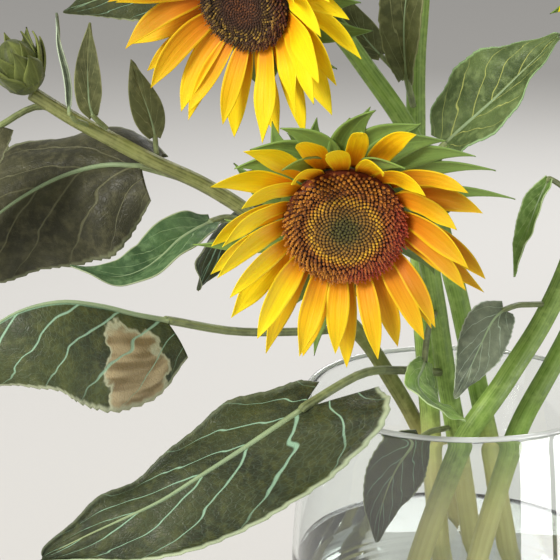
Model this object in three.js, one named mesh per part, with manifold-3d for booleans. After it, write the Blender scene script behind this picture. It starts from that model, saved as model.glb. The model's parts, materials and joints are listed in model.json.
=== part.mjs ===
// A sunflower bouquet standing in a clear glass vase that is part filled with water.
// Millimetres, +Z up. The origin is the middle of the vase's foot, and -Y is the front of the bouquet.
//
// Five cut stalks, each with a nodding head, and a leaning stalk with a closed bud stand in the vase.
// The leaves hang on petioles from the stalks.
// Every head has a green receptacle with its bracts, a domed disc of florets and a whorl of ray petals.
// The front head's outer rays are separate petals, and a collar joins the roots of its inner rays.

import * as THREE from "three";
import { mergeVertices } from "three/addons/utils/BufferGeometryUtils.js";
import Module from "manifold-3d";

const wasm = await Module();
wasm.setup();

const vector = (x, y, z) => new THREE.Vector3(x, y, z);
const vectors = (points) => points.map((point) => vector(...point));
const radians = THREE.MathUtils.degToRad;
const mix = THREE.MathUtils.lerp;
const TURN = 2 * Math.PI;
const DOWN = vector(0, 0, -1);

// ---------- driving dimensions ----------

const VASE_HEIGHT = 222;
const VASE_SIDES = 36;
const WALL = 3.2; // thickness of the glass
const FLOOR = 13; // thickness of the heavy glass foot
const WATER_LEVEL = 128;
const GAP = 0.4; // air between pieces that touch
// The outer wall of the vase: [radius, height] from the foot to the lip.
const VASE_WALL = [
  [66, 0], [71, 4], [79, 22], [87, 60], [90.5, 105], [88.5, 150], [84, 190], [82, 212],
  [82.5, VASE_HEIGHT - WALL / 2],
];

const STALK_SIDES = 8;
const FOOT_HEIGHT = FLOOR + GAP; // where the cut ends of the stalks stand

const DISC_RADIUS = 29.5;
const DISC_HEIGHT = 8; // how far the dome of florets stands out of its rim
const RIM_RADIUS = 33; // the receptacle's rim, which carries the rays
const RECEPTACLE_DEPTH = 20;
const NECK_RADIUS = 6.5; // the receptacle's back, where the stalk ends
const RAYS = 17; // rays in one whorl
const RAY_LENGTH = 46;
const RAY_WIDTH = 13;
const RAY_CUP = 22; // degrees that a ray leans forward out of the plane of the disc
const INNER_CUP = 17; // degrees more for the inner whorl
const RAY_SAG = 0.7; // how strongly a ray's tip hangs down
const BLADE = 1; // thickness of a petal or leaf
const BRACT_THICKNESS = 1.6;
// Heights above the plane of the disc's rim: the receptacle's flat top and the roots of the two whorls.
const RIM_TOP = -4.4;
const OUTER_HEIGHT = -3.2;
const INNER_HEIGHT = -0.6;

// ---------- solids ----------

// A closed surface through rings of equal count that run anticlockwise about the way of travel.
// Each end closes on a point in the middle of its ring. In a thin sheet the first half of each ring is
// one side and the rest is the other, so the faces there are cut along the same diagonals, seen through.
function loft(rings) {
  const sides = rings[0].length;
  const middle = (ring) => ring.reduce((sum, point) => sum.add(point), vector(0, 0, 0)).divideScalar(sides);
  const points = [...rings.flat(), middle(rings[0]), middle(rings.at(-1))];
  const start = points.length - 2;
  const end = points.length - 1;
  const last = (rings.length - 1) * sides;
  const index = [];
  for (let k = 0; k < sides; k++) {
    const next = (k + 1) % sides;
    const [near, far] = k < (sides - 1) / 2 ? [k, next] : [next, k];
    for (let ring = 0; ring < last; ring += sides) {
      index.push(ring + k, ring + next, ring + sides + far);
      index.push(ring + near, ring + sides + next, ring + sides + k);
    }
    index.push(start, next, k, end, last + k, last + next);
  }
  return new THREE.BufferGeometry().setFromPoints(points).setIndex(index);
}

function toSolid(geometry) {
  const bare = new THREE.BufferGeometry().setAttribute("position", geometry.getAttribute("position"));
  bare.setIndex(geometry.index);
  const merged = mergeVertices(bare, 1e-4);
  return new wasm.Manifold(
    new wasm.Mesh({
      numProp: 3,
      vertProperties: merged.attributes.position.array,
      triVerts: new Uint32Array(merged.index.array),
    }),
  );
}

function toGeometry(solid) {
  const { vertProperties, triVerts } = solid.getMesh();
  return new THREE.BufferGeometry()
    .setAttribute("position", new THREE.BufferAttribute(vertProperties, 3))
    .setIndex(new THREE.BufferAttribute(triVerts, 1));
}

const joined = (geometries) => toGeometry(wasm.Manifold.union(geometries.map(toSolid)));

// A solid turned about +Z from a profile of [radius, height] that starts and ends on the axis.
function turned(profile, sides) {
  const lathe = new THREE.LatheGeometry(profile.map(([r, z]) => new THREE.Vector2(r, z)), sides);
  return lathe.rotateX(Math.PI / 2);
}

// Turns a geometry made about +Z so that its axis points along normal, and moves it to centre.
function aimed(geometry, centre, normal) {
  const turn = new THREE.Quaternion().setFromUnitVectors(vector(0, 0, 1), normal);
  return geometry.applyQuaternion(turn).translate(...centre);
}

// ---------- materials ----------

const finish = (color, roughness) => new THREE.MeshStandardMaterial({ color, roughness, metalness: 0 });
const glass = finish(0xdfe9e6, 0.05);
const waterClear = finish(0xcfdcd4, 0.03);
const stalkGreen = finish(0x7f9c45, 0.6);
const bractGreen = finish(0x4f7a35, 0.6);
const rayYellow = finish(0xf7c511, 0.55);
const discBrown = finish(0x7a4a1c, 0.9);
const leafGreen = finish(0x3f5426, 0.55);

const bouquet = new THREE.Group();

function add(name, geometry, material) {
  const mesh = new THREE.Mesh(geometry, material);
  mesh.name = name;
  bouquet.add(mesh);
}

// ---------- the vase and its water ----------

const insideWall = VASE_WALL.filter(([, z]) => z > FLOOR).map(([r, z]) => [r - WALL, z]);
const floorRadius = insideWall[0][0] - 4;

function vase() {
  const lip = [VASE_WALL.at(-1)[0] - WALL / 2, VASE_HEIGHT];
  const inside = [...insideWall].reverse();
  return turned([[0, 0], ...VASE_WALL, lip, ...inside, [floorRadius, FLOOR], [0, FLOOR]], VASE_SIDES);
}

// The water fills the vase to its level and has a channel for every stalk that stands in it.
function water(stalks) {
  const wet = insideWall.filter(([, z]) => z < WATER_LEVEL);
  const [lowRadius, lowHeight] = wet.at(-1);
  const [highRadius, highHeight] = insideWall[wet.length];
  const levelRadius = mix(lowRadius, highRadius, (WATER_LEVEL - lowHeight) / (highHeight - lowHeight));
  const side = [[floorRadius, FLOOR + GAP], ...wet, [levelRadius, WATER_LEVEL]];
  const profile = [[0, FLOOR + GAP], ...side.map(([r, z]) => [r - GAP, z]), [0, WATER_LEVEL]];
  const body = toSolid(turned(profile, VASE_SIDES));
  return toGeometry(stalks.reduce((left, stalk) => left.subtract(toSolid(stalk)), body));
}

// ---------- stalks ----------

const smooth = (points) => new THREE.CatmullRomCurve3(points, false, "centripetal");

// A round tapering stalk along a smooth curve, with its foot cut level.
// grow makes it that much thicker all over.
function stalk({ path, radius }, grow = 0) {
  const steps = 14;
  const curve = smooth(vectors(path));
  const { tangents, normals, binormals } = curve.computeFrenetFrames(steps, false);
  const rings = normals.map((normal, i) => {
    const r = mix(...radius, i / steps) + grow;
    const centre = curve.getPointAt(i / steps);
    return Array.from({ length: STALK_SIDES }, (_, k) => {
      const angle = (TURN * k) / STALK_SIDES;
      return centre.clone().addScaledVector(normal, r * Math.cos(angle))
        .addScaledVector(binormals[i], r * Math.sin(angle));
    });
  });
  for (const point of rings[0]) point.addScaledVector(tangents[0], (FOOT_HEIGHT - point.z) / tangents[0].z);
  return loft(rings);
}

// ---------- petals and bracts ----------

// A thin pointed blade that starts at base in direction start, sags under its weight and faces face.
// outline gives the half width, as a share of width / 2, at equal steps along it.
function petal({ base, start, face, length, width, outline, sag, thickness = BLADE }) {
  const steps = outline.length - 1;
  const at = base.clone();
  const rings = outline.map((share, i) => {
    const way = start.clone().addScaledVector(DOWN, (sag * i) / steps).normalize();
    if (i > 0) at.addScaledVector(way, length / steps);
    const across = face.clone().cross(way).normalize();
    const up = way.clone().cross(across);
    const half = (share * width) / 2;
    const top = at.clone().addScaledVector(up, thickness / 2);
    const right = top.clone().addScaledVector(across, half);
    const left = top.clone().addScaledVector(across, -half);
    return [right, left, at.clone().addScaledVector(up, -thickness / 2)];
  });
  return loft(rings);
}

const RAY_OUTLINE = [0.35, 0.72, 1, 0.92, 0.12];
const BRACT_OUTLINE = [0.75, 1, 0.6, 0.1];

// Two directions square to a head's normal: sideways, and up the face of the head.
function plane(normal) {
  const sideways = vector(0, 0, 1).cross(normal).normalize();
  return { sideways, up: normal.clone().cross(sideways) };
}

// The spokes of a whorl: count directions out from the axis, the first of them turned by phase spokes.
function spokes(normal, count, phase) {
  const { sideways, up } = plane(normal);
  return Array.from({ length: count }, (_, i) => {
    const angle = (TURN * (i + phase)) / count;
    return sideways.clone().multiplyScalar(Math.cos(angle)).addScaledVector(up, Math.sin(angle));
  });
}

// One ray petal. height is how far its root lies in front of the rim's plane, and cup its forward lean.
function ray({ centre, normal, size, raySize }, spoke, height, cup) {
  const start = spoke.clone().multiplyScalar(Math.cos(radians(cup)))
    .addScaledVector(normal, Math.sin(radians(cup)));
  const root = centre.clone().addScaledVector(spoke, (DISC_RADIUS + GAP + 0.4) * size)
    .addScaledVector(normal, height * size);
  const length = RAY_LENGTH * raySize;
  const width = RAY_WIDTH * raySize;
  return petal({ base: root, start, face: normal, length, width, outline: RAY_OUTLINE, sag: RAY_SAG });
}

// The thin collar that joins the roots of a whorl.
function collar({ centre, normal, size }, height) {
  const inner = (DISC_RADIUS + 1) * size;
  const outer = RIM_RADIUS * size;
  const half = BLADE / 2;
  const profile = [[inner, -half], [outer, -half], [outer, half], [inner, half], [inner, -half]];
  return aimed(turned(profile, RAYS), centre.clone().addScaledVector(normal, height * size), normal);
}

// ---------- heads ----------

// The domed disc of florets. Its rim lies at the head's centre, and its foot on the receptacle.
function disc({ centre, normal, size }) {
  const foot = RIM_TOP + GAP;
  const dome = [[1, 0], [0.97, 0.35], [0.82, 0.72], [0.5, 0.95], [0, 1]]
    .map(([r, z]) => [r * DISC_RADIUS, z * DISC_HEIGHT]);
  const profile = [[0, foot], [DISC_RADIUS - 1, foot], ...dome].map(([r, z]) => [r * size, z * size]);
  return aimed(turned(profile, 20), centre, normal);
}

// The green receptacle behind the disc, with the bracts that grow from its side in two rows.
function receptacle({ centre, normal, size, bracts }) {
  const depth = RECEPTACLE_DEPTH;
  const bowl = [[0, -depth], [NECK_RADIUS, -depth], [13, -depth + 3], [26, -11], [RIM_RADIUS, RIM_TOP],
    [0, RIM_TOP]].map(([r, z]) => [r * size, z * size]);
  const pieces = [aimed(turned(bowl, 18), centre, normal)];
  const rows = [
    { reach: 27, back: 8.5, lean: -12, length: 31 },
    { reach: 22, back: 13, lean: -34, length: 27 },
  ];
  rows.forEach(({ reach, back, lean, length }, row) => {
    for (const spoke of spokes(normal, bracts, row / 2)) {
      const start = spoke.clone().multiplyScalar(Math.cos(radians(lean)))
        .addScaledVector(normal, Math.sin(radians(lean)));
      const base = centre.clone()
        .addScaledVector(spoke, reach * size)
        .addScaledVector(normal, -back * size);
      pieces.push(petal({
        base, start, face: normal, length: length * size, width: 11 * size, outline: BRACT_OUTLINE,
        sag: 0.25, thickness: BRACT_THICKNESS,
      }));
    }
  });
  return joined(pieces);
}

function addHead(name, head) {
  add(`receptacle_${name}`, receptacle(head), bractGreen);
  add(`disc_${name}`, disc(head), discBrown);
  const outer = spokes(head.normal, RAYS, 0).map((spoke) => ray(head, spoke, OUTER_HEIGHT, RAY_CUP));
  if (!head.petalByPetal) {
    add(`rays_${name}`, joined([collar(head, OUTER_HEIGHT), ...outer]), rayYellow);
    return;
  }
  outer.forEach((geometry, i) => add(`ray_${name}_${String(i + 1).padStart(2, "0")}`, geometry, rayYellow));
  const inner = spokes(head.normal, RAYS, 0.5)
    .map((spoke) => ray(head, spoke, INNER_HEIGHT, RAY_CUP + INNER_CUP));
  add(`inner_rays_${name}`, joined([collar(head, INNER_HEIGHT), ...inner]), rayYellow);
}

// centre is the middle of the disc's rim. facing is the way the head looks.
const head = (centre, facing, size, raySize, bracts, petalByPetal = false) => ({
  centre: vector(...centre), normal: vector(...facing).normalize(), size, raySize, bracts, petalByPetal,
});

const HEADS = {
  front: head([-65, -95, 335], [-0.04, -0.96, -0.27], 1, 1, 13, true),
  upper_left: head([-112, -42, 434], [-0.44, -0.84, -0.31], 0.8, 1.06, 9),
  upper_right: head([93, 0, 453], [0.36, -0.9, 0.24], 0.97, 0.97, 9),
  top: head([-16, 44, 528], [-0.28, 0.62, 0.73], 1, 1, 9),
  right: head([146, 50, 392], [0.8, 0.5, 0.33], 0.92, 0.92, 9),
};

// The last two points of a stalk, which bring it square onto the back of its head.
function neck({ centre, normal, size }) {
  const back = RECEPTACLE_DEPTH * size + 2 * GAP;
  return [back + 16, back].map((distance) => centre.clone().addScaledVector(normal, -distance).toArray());
}

// ---------- buds ----------

// A closed bud: a green cup wrapped in pointed bracts, along normal from its centre.
function bud({ centre, normal, size, bracts }) {
  const cup = [[0, -11], [4, -11], [9.5, -6], [11, 1], [8, 9], [3.5, 14], [0, 16]];
  const pieces = [aimed(turned(cup.map(([r, z]) => [r * size, z * size]), 16), centre, normal)];
  const rows = [{ lean: 82, length: 23, out: 8.5 }, { lean: 66, length: 18, out: 8.5 }];
  rows.forEach(({ lean, length, out }, row) => {
    for (const spoke of spokes(normal, bracts, row / 2)) {
      const start = spoke.clone().multiplyScalar(Math.cos(radians(lean)))
        .addScaledVector(normal, Math.sin(radians(lean)));
      const base = centre.clone().addScaledVector(spoke, out * size).addScaledVector(normal, -6 * size);
      pieces.push(petal({
        base, start, face: normal, length: length * size, width: 10 * size, outline: BRACT_OUTLINE,
        sag: 0, thickness: BRACT_THICKNESS,
      }));
    }
  });
  return joined(pieces);
}

const BUD = {
  centre: vector(-224, -46, 401), normal: vector(-0.36, -0.24, 0.9).normalize(), size: 1.08, bracts: 5,
};

function budNeck({ centre, normal, size }) {
  return [11 * size + 12, 11 * size + 2 * GAP]
    .map((distance) => centre.clone().addScaledVector(normal, -distance).toArray());
}

// ---------- the stalks' places ----------

const STALKS = {
  stalk_front: {
    radius: [6, 4.8],
    path: [[28, 34, FOOT_HEIGHT], [14, 14, 115], [-5, -10, 222], [-19, -16, 300], [-30, -17, 342],
      [-45, -34, 357], ...neck(HEADS.front)],
  },
  stalk_upper_left: {
    radius: [6, 4.8],
    path: [[48, -2, FOOT_HEIGHT], [33, 4, 115], [12, 11, 222], [-8, 9, 300], [-28, 4, 362],
      [-52, 3, 396], [-76, 1, 428], ...neck(HEADS.upper_left)],
  },
  stalk_upper_right: {
    radius: [6.2, 4.8],
    path: [[-48, -16, FOOT_HEIGHT], [-27, -40, 120], [2, -58, 220], [25, -50, 250], [48, -38, 290],
      [70, -12, 352], [80, 25, 417], ...neck(HEADS.upper_right)],
  },
  stalk_top: {
    radius: [6, 4.8],
    path: [[2, -24, FOOT_HEIGHT], [-6, 8, 115], [-14, 32, 222], [-20, 33, 300], [-23, 28, 370],
      [-22, 24, 430], [-16, 24, 480], ...neck(HEADS.top)],
  },
  stalk_right: {
    radius: [6, 4.6],
    path: [[-22, -46, FOOT_HEIGHT], [2, -44, 115], [33, -38, 222], [52, -30, 254], [82, 0, 308],
      [106, 22, 350], ...neck(HEADS.right)],
  },
  stalk_bud: {
    radius: [5, 3.6],
    path: [[30, 52, FOOT_HEIGHT], [8, 52, 120], [-36, 26, 222], [-62, 4, 262], [-100, -12, 312],
      [-131, -16, 335], [-163, -26, 353], [-188, -32, 369], ...budNeck(BUD)],
  },
};

// ---------- leaves ----------

// The point where a petiole leaves a stalk at a height, on the side of next, the petiole's next point.
// clearance is the petiole's radius.
function axil([name, height], next, clearance) {
  const { path, radius } = STALKS[name];
  const curve = smooth(vectors(path));
  const samples = Array.from({ length: 200 }, (_, i) => i / 200);
  const u = samples.find((at) => curve.getPointAt(at).z >= height);
  const centre = curve.getPointAt(u);
  const away = next.clone().sub(centre);
  const outward = away.clone().projectOnPlane(curve.getTangentAt(u)).normalize();
  const slant = away.angleTo(outward);
  return centre.addScaledVector(outward, mix(...radius, u) + clearance * Math.sin(slant) + 2 * GAP);
}

// A heart-shaped leaf on its petiole. It grows on a stalk at a height and follows points to its tip.
// Its upper side faces faces[0] at the petiole and faces[1] at the tip. width is the half width on the
// right and on the left of the midrib. fold lifts each half out of flat, and curl bends its outer part
// down again, in degrees. The blade starts at the share blade of the midrib, and lobe is how far its base
// reaches back, as a share of the blade's length.
const LEAF_OUTLINE = [0.34, 0.74, 0.97, 0.98, 0.84, 0.62, 0.34, 0.06];
const LEAF_SIDE_ANGLES = [0, 45, 90, 135, 180, 225, 270, 315].map(radians);

function leaf({ on, points, faces, width, fold, curl, blade = 0.3, petiole = 2.2, lobe = [0.1, 0.1] }) {
  const route = vectors(points);
  const curve = smooth([axil(on, route[0], petiole), ...route]);
  const [startFace, endFace] = vectors(faces);
  const bladeLength = curve.getLength() * (1 - blade);

  function frame(u) {
    const way = curve.getTangentAt(u);
    const across = startFace.clone().lerp(endFace, u).cross(way).normalize();
    return { centre: curve.getPointAt(u), way, across, up: way.clone().cross(across) };
  }

  function petioleRing(u) {
    const { centre, across, up } = frame(u);
    return LEAF_SIDE_ANGLES.map((angle) => centre.clone()
      .addScaledVector(across, petiole * Math.cos(angle))
      .addScaledVector(up, petiole * Math.sin(angle)));
  }

  function bladeRing(share, t) {
    const { centre, way, across, up } = frame(mix(blade, 1, t));
    const half = (sign, halfWidth, lift, droop, reach) => {
      const back = -1.3 * reach * bladeLength * (1 - t) ** 3 * share;
      const turned = (angle) => across.clone().multiplyScalar(sign * Math.cos(radians(angle)))
        .addScaledVector(up, Math.sin(radians(angle)));
      const step = (angle) => turned(angle)
        .multiplyScalar((halfWidth * share) / 2)
        .addScaledVector(way, back / 2);
      const middle = centre.clone().add(step(lift));
      const under = middle.clone().addScaledVector(turned(lift - 90), BLADE);
      return { middle, under, edge: middle.clone().add(step(lift - droop)) };
    };
    const right = half(1, width[0], fold[0], curl[0], lobe[0]);
    const left = half(-1, width[1], fold[1], curl[1], lobe[1]);
    const rib = mix(petiole, BLADE / 2, t) + BLADE / 2;
    const ribUnder = centre.clone().addScaledVector(up, -rib);
    return [right.edge, right.middle, centre, left.middle, left.edge, left.under, ribUnder, right.under];
  }

  const petioleRings = [0, 1 / 3, 2 / 3, 1].map((share) => petioleRing(blade * share));
  const last = LEAF_OUTLINE.length - 1;
  const bladeRings = LEAF_OUTLINE.map((share, i) => bladeRing(share, mix(0.03, 1, i / last)));
  return loft([...petioleRings, ...bladeRings]);
}

const LEAVES = {
  // Arches out over the left, with its near half hanging.
  leaf_left_arched: {
    on: ["stalk_bud", 258],
    points: [[-88, -36, 264], [-116, -50, 268], [-139, -66, 277], [-160, -84, 285], [-178, -98, 294],
      [-196, -108, 300], [-216, -113, 298], [-238, -113, 284], [-262, -112, 252]],
    faces: [[0.1, -0.1, 1], [-0.3, -0.1, 1]], width: [52, 42], fold: [-62, -34], curl: [16, 20],
    blade: 0.45, lobe: [0.24, 0.24],
  },
  // Hangs over the front of the vase's rim, lower left.
  leaf_lower_left: {
    on: ["stalk_front", 236],
    points: [[-36, -52, 248], [-62, -90, 256], [-86, -112, 247], [-113, -124, 232], [-134, -133, 221],
      [-155, -138, 209], [-182, -141, 197], [-207, -142, 184]],
    faces: [[0.1, -0.6, 0.8], [0, -0.85, 0.5]], width: [36, 24], fold: [-2, -16], curl: [4, 12],
    blade: 0.45, lobe: [0.66, 0.3],
  },
  // A narrow leaf between the front head and the left.
  leaf_narrow: {
    on: ["stalk_bud", 318],
    points: [[-122, -26, 322], [-135, -40, 321], [-147, -55, 317], [-161, -68, 307], [-178, -74, 303],
      [-198, -76, 309]],
    faces: [[0, -0.5, 0.85], [-0.1, -0.6, 0.8]], width: [13, 15], fold: [26, 22], curl: [10, 10],
    blade: 0.24,
  },
  // The broad dark leaf behind the bud's stalk.
  leaf_left_broad: {
    on: ["stalk_bud", 340],
    points: [[-156, -10, 343], [-177, -3, 346], [-202, 0, 342], [-229, -2, 330], [-260, -10, 306],
      [-280, -20, 274]],
    faces: [[0, -0.7, 0.7], [-0.1, -0.85, 0.5]], width: [50, 38], fold: [-14, -14], curl: [24, 20],
    blade: 0.13, lobe: [0.16, 0.16],
  },
  // Beyond the broad leaf: its petiole arches up before the blade hangs.
  leaf_far_left: {
    on: ["stalk_bud", 362],
    points: [[-196, -23, 371], [-208, -22, 377], [-221, -26, 380], [-238, -38, 371], [-256, -48, 354],
      [-272, -55, 330], [-280, -58, 302]],
    faces: [[0.2, -0.2, 1], [-0.7, -0.6, 0.5]], width: [20, 22], fold: [-12, -8], curl: [20, 20],
    blade: 0.42, petiole: 1.7,
  },
  // A young leaf that is still rolled up.
  leaf_spike: {
    on: ["stalk_bud", 371],
    points: [[-199, -56, 381], [-200, -57, 399], [-204, -54, 416], [-205, -54, 430]],
    faces: [[0.2, -1, 0.1], [0, -1, 0.1]], width: [2.6, 2.6], fold: [50, 50], curl: [0, 0], blade: 0.3,
    petiole: 1.3,
  },
  leaf_oval: {
    on: ["stalk_bud", 367],
    points: [[-190, -44, 380], [-191, -46, 390], [-191, -46, 406], [-190, -44, 424]],
    faces: [[0.1, -1, 0.1], [0, -1, 0.2]], width: [7, 7], fold: [14, 14], curl: [0, 0], blade: 0.2,
    petiole: 1.4,
  },
  leaf_left_small: {
    on: ["stalk_bud", 351],
    points: [[-161, -12, 364], [-164, -12, 376], [-168, -14, 388], [-172, -16, 402]],
    faces: [[0.2, -1, 0], [0.1, -1, 0.1]], width: [9, 8], fold: [18, 10], curl: [10, 10], blade: 0.2,
    petiole: 1.4,
  },
  // Stands up to the right of the front head.
  leaf_upper_right: {
    on: ["stalk_front", 341],
    points: [[-16, -27, 356], [-3, -33, 371], [11, -40, 386], [25, -46, 402], [40, -50, 418]],
    faces: [[-0.35, -0.85, 0.3], [-0.3, -0.9, 0.2]], width: [30, 24], fold: [-8, 50], curl: [18, 6],
    blade: 0.22, lobe: [0.16, 0.16],
  },
  // A folded leaf against the tallest stalk.
  leaf_upright: {
    on: ["stalk_top", 372],
    points: [[-30, 3, 393], [-32, -3, 422], [-28, -4, 452], [-20, -1, 482], [-12, 4, 506]],
    faces: [[-0.5, -0.8, 0.2], [-0.3, -0.9, -0.1]], width: [14, 14], fold: [34, 34], curl: [8, 8],
    blade: 0.16, petiole: 1.8,
  },
  leaf_hooked: {
    on: ["stalk_top", 386],
    points: [[-41, 24, 398], [-51, 22, 409], [-58, 20, 420], [-63, 16, 433]],
    faces: [[-0.2, -1, 0.1], [0.2, -1, 0.1]], width: [8, 9], fold: [10, 20], curl: [6, 6], petiole: 1.4,
  },
  leaf_hanging: {
    on: ["stalk_upper_right", 277],
    points: [[20, -60, 284], [11, -68, 280], [4, -75, 269], [-2, -79, 257], [-9, -82, 244]],
    faces: [[0.2, -0.6, 0.8], [0.3, -0.9, 0.3]], width: [13, 13], fold: [8, 8], curl: [14, 14],
    blade: 0.34, petiole: 1.5, lobe: [0.16, 0.16],
  },
  // Curls over the front of the rim.
  leaf_curled: {
    on: ["stalk_front", 270],
    points: [[-20, -45, 268], [-24, -72, 258], [-28, -88, 252], [-22, -96, 246], [-6, -99, 237]],
    faces: [[-0.4, -0.9, 0.3], [0.4, -0.5, 0.8]], width: [14, 8], fold: [-24, 30], curl: [20, 10],
    blade: 0.5, petiole: 1.6,
  },
  leaf_withered: {
    on: ["stalk_upper_right", 322],
    points: [[49, -42, 339], [41, -46, 348], [34, -48, 336], [28, -48, 317], [23, -47, 297]],
    faces: [[0, -0.9, 0.4], [-0.6, -0.6, 0.2]], width: [7, 8], fold: [40, 30], curl: [-20, -16],
    blade: 0.4, petiole: 1.4,
  },
  leaf_behind_upper_left: {
    on: ["stalk_upper_left", 424],
    points: [[-100, 18, 440], [-120, 25, 443], [-150, 26, 440], [-184, 20, 432], [-208, 14, 424]],
    faces: [[0, -0.6, 0.8], [0, -0.8, 0.6]], width: [27, 24], fold: [-6, -10], curl: [18, 14],
    blade: 0.26,
  },
  leaf_in_vase: {
    on: ["stalk_front", 204],
    points: [[-20, -32, 206], [-34, -45, 194], [-42, -52, 176], [-45, -54, 156]],
    faces: [[0.1, -0.7, 0.6], [0.2, -1, 0.1]], width: [16, 15], fold: [6, 4], curl: [20, 20],
    petiole: 1.6,
  },
  leaf_back_left: {
    on: ["stalk_top", 296],
    points: [[-44, 62, 312], [-68, 84, 319], [-100, 106, 310], [-128, 126, 282], [-146, 138, 242]],
    faces: [[-0.2, 0.1, 1], [-0.6, 0.6, 0.6]], width: [44, 44], fold: [-14, -14], curl: [18, 18],
  },
  leaf_back_right: {
    on: ["stalk_right", 300],
    points: [[84, 28, 316], [94, 60, 322], [108, 94, 308], [120, 120, 280], [126, 134, 246]],
    faces: [[0.1, 0.1, 1], [0.5, 0.7, 0.5]], width: [36, 38], fold: [-12, -12], curl: [20, 16],
  },
  leaf_right_low: {
    on: ["stalk_right", 250],
    points: [[66, -42, 264], [90, -50, 272], [118, -58, 264], [144, -65, 238], [162, -70, 204]],
    faces: [[0, 0, 1], [0.6, -0.3, 0.7]], width: [38, 38], fold: [-14, -12], curl: [18, 16], blade: 0.2,
  },
};

// ---------- assembly ----------

add("vase", vase(), glass);
add("water", water(Object.values(STALKS).map((spec) => stalk(spec, GAP))), waterClear);
for (const [name, spec] of Object.entries(STALKS)) add(name, stalk(spec), stalkGreen);
for (const [name, spec] of Object.entries(HEADS)) addHead(name, spec);
add("bud", bud(BUD), bractGreen);
for (const [name, spec] of Object.entries(LEAVES)) add(name, leaf(spec), leafGreen);

export default bouquet;
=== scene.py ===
# %% [markdown]
# # A sunflower bouquet in a glass vase
# The frame is the plain model of the bouquet: where every stalk, leaf, petal and head is, and how big it
# is. This lesson keeps those places and grows the living detail on them: veins, ruffles, florets, petals
# with grooves, ribbed stalks, glass and water.

# %% Load the frame
import json
import math
import random

import bmesh
import bpy
import numpy as np
from mathutils import Matrix, Vector, noise

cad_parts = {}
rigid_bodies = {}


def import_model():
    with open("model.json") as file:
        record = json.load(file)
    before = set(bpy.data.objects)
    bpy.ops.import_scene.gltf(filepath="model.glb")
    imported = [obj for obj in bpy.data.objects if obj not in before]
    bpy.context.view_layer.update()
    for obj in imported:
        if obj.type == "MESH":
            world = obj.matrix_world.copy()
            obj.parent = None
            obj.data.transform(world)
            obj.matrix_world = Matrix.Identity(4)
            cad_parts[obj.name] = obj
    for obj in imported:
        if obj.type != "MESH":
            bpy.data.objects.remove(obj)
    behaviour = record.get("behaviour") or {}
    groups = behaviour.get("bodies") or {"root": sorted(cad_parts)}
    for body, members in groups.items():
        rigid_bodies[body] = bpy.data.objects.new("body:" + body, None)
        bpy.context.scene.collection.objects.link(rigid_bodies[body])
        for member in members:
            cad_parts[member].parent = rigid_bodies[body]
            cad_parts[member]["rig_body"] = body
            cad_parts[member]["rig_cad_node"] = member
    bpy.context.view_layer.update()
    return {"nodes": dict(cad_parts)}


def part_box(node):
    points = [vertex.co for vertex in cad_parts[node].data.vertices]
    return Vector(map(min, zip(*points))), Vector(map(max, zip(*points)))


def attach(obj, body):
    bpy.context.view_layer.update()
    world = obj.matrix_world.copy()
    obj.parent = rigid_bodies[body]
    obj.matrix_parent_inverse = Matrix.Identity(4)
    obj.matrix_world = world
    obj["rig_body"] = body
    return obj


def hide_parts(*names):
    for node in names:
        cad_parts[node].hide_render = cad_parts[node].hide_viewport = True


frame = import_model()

# %% [markdown]
# ## The camera
# The bouquet is seen from the front and a little above, through a long lens, so that near and far flowers
# keep nearly the same scale. The camera comes first, because every later choice is judged through it.

# %% The camera
LENS_MM = 120
LOOK_DOWN = math.radians(14.5)
CAMERA_DISTANCE = 0.956
CAMERA_TARGET = Vector((-0.096, -0.040, 0.2928))
back = Vector((0, -math.cos(LOOK_DOWN), math.sin(LOOK_DOWN)))
bpy.ops.object.camera_add(
    location=CAMERA_TARGET + back * CAMERA_DISTANCE, rotation=(math.radians(90) - LOOK_DOWN, 0, 0)
)
camera = bpy.context.object
camera.data.lens = LENS_MM
camera.data.dof.use_dof = False
bpy.context.scene.camera = camera
print("the camera is", CAMERA_DISTANCE, "m from the bouquet")

# %% [markdown]
# ## Small helpers for curves
# Many pieces here are thin sheets that follow a bent line. numpy moves all of a sheet's points in one go,
# and Blender's own noise gives the small unevenness of grown things.


# %% Vectors and curves
def unit(vectors):
    return vectors / np.linalg.norm(vectors, axis=-1, keepdims=True)


def smoothstep(low, high, x):
    t = np.clip((x - low) / (high - low), 0, 1)
    return t * t * (3 - 2 * t)


def spline(points, t):
    """Points on a smooth curve through a row of points (or of rows of points), at shares t from 0 to 1."""
    points = np.asarray(points, float)
    padded = np.concatenate([[2 * points[0] - points[1]], points, [2 * points[-1] - points[-2]]])
    x = np.clip(np.asarray(t, float), 0, 1) * (len(points) - 1)
    i = np.minimum(x.astype(int), len(points) - 2)
    f = (x - i).reshape((-1,) + (1,) * (points.ndim - 1))
    a, b, c, d = (padded[i + k] for k in range(4))
    return 0.5 * (2 * b + (c - a) * f + (2 * a - 5 * b + 4 * c - d) * f**2 + (3 * b - a - 3 * c + d) * f**3)


def wobble(points, scale, seed):
    """A smooth random value from -1 to 1 at each point, for features about scale metres wide."""
    offset = Vector((seed * 3.7, seed * 1.3, seed * 2.1))
    return np.array([noise.noise(Vector(p) / scale + offset) for p in points])


# %% [markdown]
# ## Small helpers for pieces
# An operator acts on all that is selected, so everything is deselected before a piece is added or chosen.
# Round and flat pieces start as primitives. What repeats by the hundred is made from lists instead.


# %% Points of a piece
def place(piece, points):
    piece.data.vertices.foreach_set("co", np.asarray(points, np.float32).ravel())
    piece.data.update()


def points_of(piece):
    co = np.empty(len(piece.data.vertices) * 3, np.float32)
    piece.data.vertices.foreach_get("co", co)
    return co.reshape(-1, 3).astype(float)


def mark(piece, name, values):
    """Stores one number for each vertex, for the materials to read."""
    layer = piece.data.attributes.new(name, "FLOAT", "POINT")
    layer.data.foreach_set("value", np.broadcast_to(values, len(piece.data.vertices)).astype(np.float32))


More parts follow.
